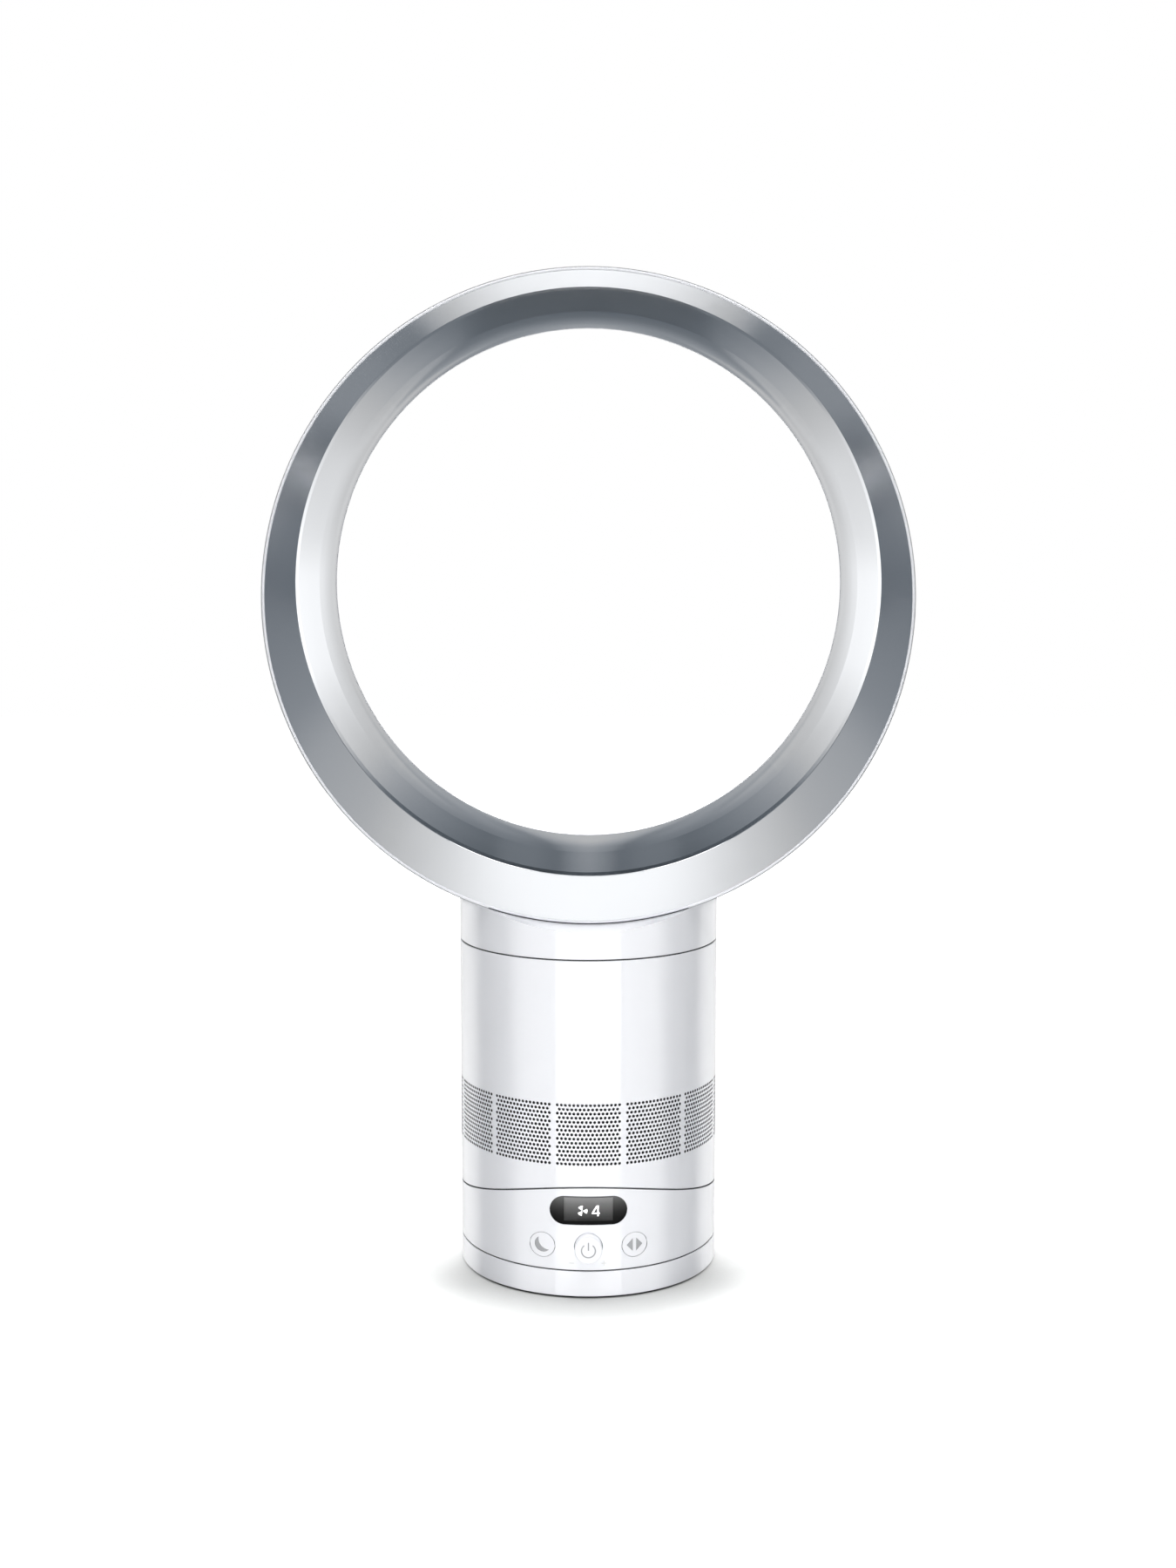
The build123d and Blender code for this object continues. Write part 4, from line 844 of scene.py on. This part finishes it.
def camera():
    """The photograph's camera, about level with the ring's middle and looking slightly down."""
    lens = bpy.data.cameras.new("camera")
    lens.lens = camera_lens
    lens.sensor_width = camera_sensor
    lens.shift_x = camera_shift
    viewer = bpy.data.objects.new("camera", lens)
    viewer.location = camera_place
    viewer.rotation_euler = (pi / 2 - camera_tilt, 0, 0)
    bpy.context.scene.collection.objects.link(viewer)
    bpy.context.scene.camera = viewer


def softbox(name, place, target, width, height, power):
    """A rectangular lamp that points at a target and that neither the camera nor reflections see."""
    lamp = bpy.data.lights.new(name, "AREA")
    lamp.shape = "RECTANGLE"
    lamp.size = width
    lamp.size_y = height
    lamp.energy = power
    box = bpy.data.objects.new(name, lamp)
    box.location = place
    box.rotation_euler = (Vector(target) - Vector(place)).to_track_quat("-Z", "Y").to_euler()
    box.visible_camera = False
    box.visible_glossy = False
    bpy.context.scene.collection.objects.link(box)


def seen_directly(tree):
    """1 for what the camera sees straight, in a reflection or through glass, and 0 for other light."""
    path = tree.nodes.new("ShaderNodeLightPath")
    total = path.outputs["Is Camera Ray"]
    for ray in ("Is Glossy Ray", "Is Transmission Ray"):
        larger = tree.nodes.new("ShaderNodeMath")
        larger.operation = "MAXIMUM"
        tree.links.new(total, larger.inputs[0])
        tree.links.new(path.outputs[ray], larger.inputs[1])
        total = larger.outputs["Value"]
    return total


def white_world(ambient):
    """A white surrounding, with softer light from it on the object."""
    world = bpy.data.worlds.new("studio")
    world.use_nodes = True
    tree = world.node_tree
    background = tree.nodes["Background"]
    background.inputs["Color"].default_value = white
    tree.links.new(spread(tree, seen_directly(tree), ambient, 1.0), background.inputs["Strength"])
    bpy.context.scene.world = world


def floor(size, glow, fade_start, fade_end, reach, shade_front, shade_back):
    """A pale floor that keeps the fan's shadow in front and turns white behind and away from it; ambient
    occlusion paints a contact shadow into its colour and glow near the fan.
    """
    corners = [(x * size, y * size, 0) for x, y in ((-1, -1), (1, -1), (1, 1), (-1, 1))]
    mesh = bpy.data.meshes.new("floor")
    mesh.from_pydata(corners, [], [(0, 1, 2, 3)])
    sheet = bpy.data.objects.new("floor", mesh)
    bpy.context.scene.collection.objects.link(sheet)
    material, tree, shader, place = node_tree("floor_paint")
    shader.inputs["Roughness"].default_value = floor_roughness
    shader.inputs["Specular IOR Level"].default_value = 0.0
    shader.inputs["Emission Color"].default_value = white
    # Painted contact shadow: ambient occlusion darkens the floor's colour and glow near the fan
    painted_contact_shadow = tree.nodes.new("ShaderNodeAmbientOcclusion")
    painted_contact_shadow.inputs["Color"].default_value = floor_colour
    painted_contact_shadow.inputs["Distance"].default_value = reach
    tree.links.new(painted_contact_shadow.outputs["Color"], shader.inputs["Base Color"])
    distance = tree.nodes.new("ShaderNodeVectorMath")
    distance.operation = "LENGTH"
    tree.links.new(place, distance.inputs[0])
    rise = tree.nodes.new("ShaderNodeMapRange")
    rise.interpolation_type = "SMOOTHSTEP"
    rise.inputs["From Min"].default_value = fade_start
    rise.inputs["From Max"].default_value = fade_end
    rise.inputs["To Min"].default_value = glow
    tree.links.new(distance.outputs["Value"], rise.inputs["Value"])
    shaded = product(tree, rise.outputs["Result"], painted_contact_shadow.outputs["AO"])
    split = tree.nodes.new("ShaderNodeSeparateXYZ")
    tree.links.new(place, split.inputs["Vector"])
    behind = tree.nodes.new("ShaderNodeMapRange")
    behind.interpolation_type = "SMOOTHSTEP"
    behind.inputs["From Min"].default_value = shade_front
    behind.inputs["From Max"].default_value = shade_back
    tree.links.new(split.outputs["Y"], behind.inputs["Value"])
    tree.links.new(shaded, behind.inputs["To Min"])
    strength = product(tree, behind.outputs["Result"], seen_directly(tree))
    tree.links.new(strength, shader.inputs["Emission Strength"])
    mesh.materials.append(material)


def card_light():
    """A card's light, of the strength that each of its points gives, and cooler where it is dim."""
    material, tree, shader, _ = node_tree("card_light")
    strength = tree.nodes.new("ShaderNodeAttribute")
    strength.attribute_name = "strength"
    tree.links.new(strength.outputs["Fac"], shader.inputs["Emission Strength"])
    dim = tree.nodes.new("ShaderNodeMapRange")
    dim.inputs["From Max"].default_value = dim_below
    tree.links.new(strength.outputs["Fac"], dim.inputs["Value"])
    tint = blend_colours(tree, dim.outputs["Result"], dim_tint, white[:3])
    tree.links.new(tint, shader.inputs["Emission Color"])
    shader.inputs["Base Color"].default_value = black
    shader.inputs["Specular IOR Level"].default_value = 0.0
    return material


def card(name, material, start, turns, path):
    """A card on either side of the fan, seen only in reflections.

    Each turn is an angle from the front and a share of the strength. The path leads out at that
    angle from a point of the starting radius at half the angle, and each of its stops is a
    distance, a height and a strength.
    """
    shares = []
    for (first, low), (last, high) in zip(turns, turns[1:]):
        steps = max(1, round((last - first) / card_step))
        for step in range(steps):
            shares.append((first + (last - first) * step / steps, low + (high - low) * step / steps))
    shares.append(turns[-1])
    stops = len(path)
    for side in (-1, 1):
        points = []
        strengths = []
        faces = []
        for degrees, share in shares:
            turn = side * radians(degrees)
            for distance, height, strength in path:
                x = start * sin(turn / 2) + distance * sin(turn)
                y = -start * cos(turn / 2) - distance * cos(turn)
                points.append((x, y, height))
                strengths.append(share * strength)
        for place in range(len(shares) - 1):
            for stop in range(stops - 1):
                corner = place * stops + stop
                faces.append((corner, corner + 1, corner + stops + 1, corner + stops))
        mesh = bpy.data.meshes.new(name)
        mesh.from_pydata(points, [], faces)
        mesh.materials.append(material)
        mesh.attributes.new("strength", "FLOAT", "POINT").data.foreach_set("value", strengths)
        sheet = bpy.data.objects.new(name, mesh)
        bpy.context.scene.collection.objects.link(sheet)
        sheet.visible_camera = False
        sheet.visible_diffuse = False
        sheet.visible_transmission = False
        sheet.visible_shadow = False


def along_floor(*stops):
    """Stops of a card's path just above the floor, from distances and strengths."""
    return [(distance, floor_gap, strength) for distance, strength in stops]


def up_wall(*stops):
    """Stops of a card's path up the studio's wall, from heights and strengths."""
    return [(wall_distance, height, strength) for height, strength in stops]


def under_ceiling(strength):
    """The last stop of a card's path, over the fan."""
    return [(ceiling_distance, ceiling_height, strength)]


def pedestal_cards(light):
    """Cards that stand like a sleeve round the pedestal, which its glossy plastic shows."""
    foot = [(sleeve_gap, sleeve_gap, 1), (sleeve_distance, floor_gap, 1)]
    sleeve = foot + [(sleeve_distance, sleeve_height, 1)]
    front = [(0, 6.5), (29, 6.5)]
    card("front_card", light, pedestal_radius, front, sleeve)
    wing = [(29.5, 4.3), (60, 3.6), (76, 0.5), (86, 0), (103, 0.1)]
    card("wing_card", light, pedestal_radius, wing, sleeve)
    rim_sleeve = foot + [(sleeve_distance, rim_sleeve_height, 1)]
    rim = [(103, 0.1), (108, 0.3), (116, 1.5), (122, 2.3), (132, 2.4), (147, 1.9), (157, 1.4), (178, 0.9)]
    card("rim_card", light, pedestal_radius, rim, rim_sleeve)


def studio_cards(light):
    """Cards round the studio from the front to the back, which the silver ring shows."""
    overhead = [(0.25, top_card_height, 1.8), (0.85, top_card_height, 1.8)]
    card("top_card", light, 0, [(0, 1), (60, 1)], overhead)

    grey = along_floor((0.32, 0.38), (0.6, 0.3), (0.78, 0.19))
    grey += up_wall((floor_gap, 0.2), (0.43, 0.27), (0.77, 0.31), (1.0, 0.34), (1.25, 0.46), (1.8, 0.54),
                    (2.5, 0.87), (3.1, 1.32))
    grey += [(1.4, 3.6, 1.35), (1.1, 3.95, 0.4)] + under_ceiling(0.12)
    card("grey_wall", light, 0, [(0, 1), (108, 1)], grey)

    strip = up_wall((floor_gap, 0.98), (0.2, 1.08), (0.33, 1.32), (0.65, 1.35), (0.9, 0.97))
    low_end = up_wall((1.2, 0.52), (1.5, 0.3), (1.8, 0.14), (2.4, 0.1)) + under_ceiling(0.1)
    edge = along_floor((0.32, 0.34), (0.6, 0.25), (0.78, 0.17), (0.95, 0.5), (1.3, 0.9))
    card("strip_edge", light, 0, [(108, 1), (122, 1.3)], edge + strip + low_end)

    middle = along_floor((0.32, 0.29), (0.6, 0.25), (0.72, 0.4), (0.9, 0.75), (1.2, 0.88))
    high_end = up_wall((1.2, 0.82), (1.45, 0.5), (1.8, 0.15), (2.4, 0.1)) + under_ceiling(0.1)
    middle_turns = [(122, 1.3), (133, 1.25), (141, 1), (148, 0.86)]
    card("strip_light", light, 0, middle_turns, middle + strip + high_end)

    fade = along_floor((0.32, 0.38), (0.7, 0.33), (0.9, 0.73), (1.2, 0.9), (1.5, 1.08))
    fade += up_wall((floor_gap, 1.1), (0.2, 1.12), (0.33, 1.3), (0.5, 1.22), (0.65, 1.1), (0.9, 0.85))
    card("strip_fade", light, 0, [(148, 0.86), (155, 0.72), (166, 0.58)], fade + low_end)

    near_floor = [(0.32, near_floor_gap, 1.36), (0.518, near_floor_gap, 1.36)]
    card("near_floor", light, 0, [(150, 0.35), (155, 0.44), (168, 0.87), (180, 1)], near_floor)
    far_floor = along_floor((0.523, 0.04), (0.64, 0.09), (0.8, 0.18), (1.25, 0.3), (wall_distance, 0.36))
    card("far_floor", light, 0, [(166, 1.1), (180, 1)], far_floor)

    side_wall = up_wall((floor_gap, 0.5), (0.1, 0.62), (0.25, 0.74), (0.4, 0.78), (0.5, 0.66), (0.6, 0.52),
                        (0.75, 0.42), (0.9, 0.36), (1.05, 0.34), (1.4, 0.25), (1.68, 0.24), (2.4, 0.1))
    card("side_wall", light, 0, [(166, 1), (172, 1), (176, 0.7)], side_wall + under_ceiling(0.1))
    far_wall = up_wall((floor_gap, 0.42), (0.3, 0.42), (0.45, 0.55), (0.9, 0.62), (1.03, 0.58), (1.4, 0.42),
                       (1.68, 0.39), (2.4, 0.15))
    card("far_wall", light, 0, [(176, 0.65), (180, 1)], far_wall + under_ceiling(0.12))


camera()
white_world(ambient=0.08)
floor(size=4, glow=0.07, fade_start=0.076, fade_end=0.185, reach=0.045, shade_front=-0.06, shade_back=0.038)
softbox("front_softbox", place=(0, -2.2, 0.95), target=(0, 0, 0.25), width=1.5, height=1.6, power=20)
softbox("top_softbox", place=(0, -0.7, 2.4), target=(0, -0.1, 0.3), width=2.0, height=1.6, power=50)
softbox("back_softbox", place=(0, 2.2, 0.75), target=(0, 0, 0.3), width=0.9, height=0.9, power=20)
card_paint = card_light()
pedestal_cards(card_paint)
studio_cards(card_paint)

bpy.context.scene.view_settings.view_transform = "Standard"
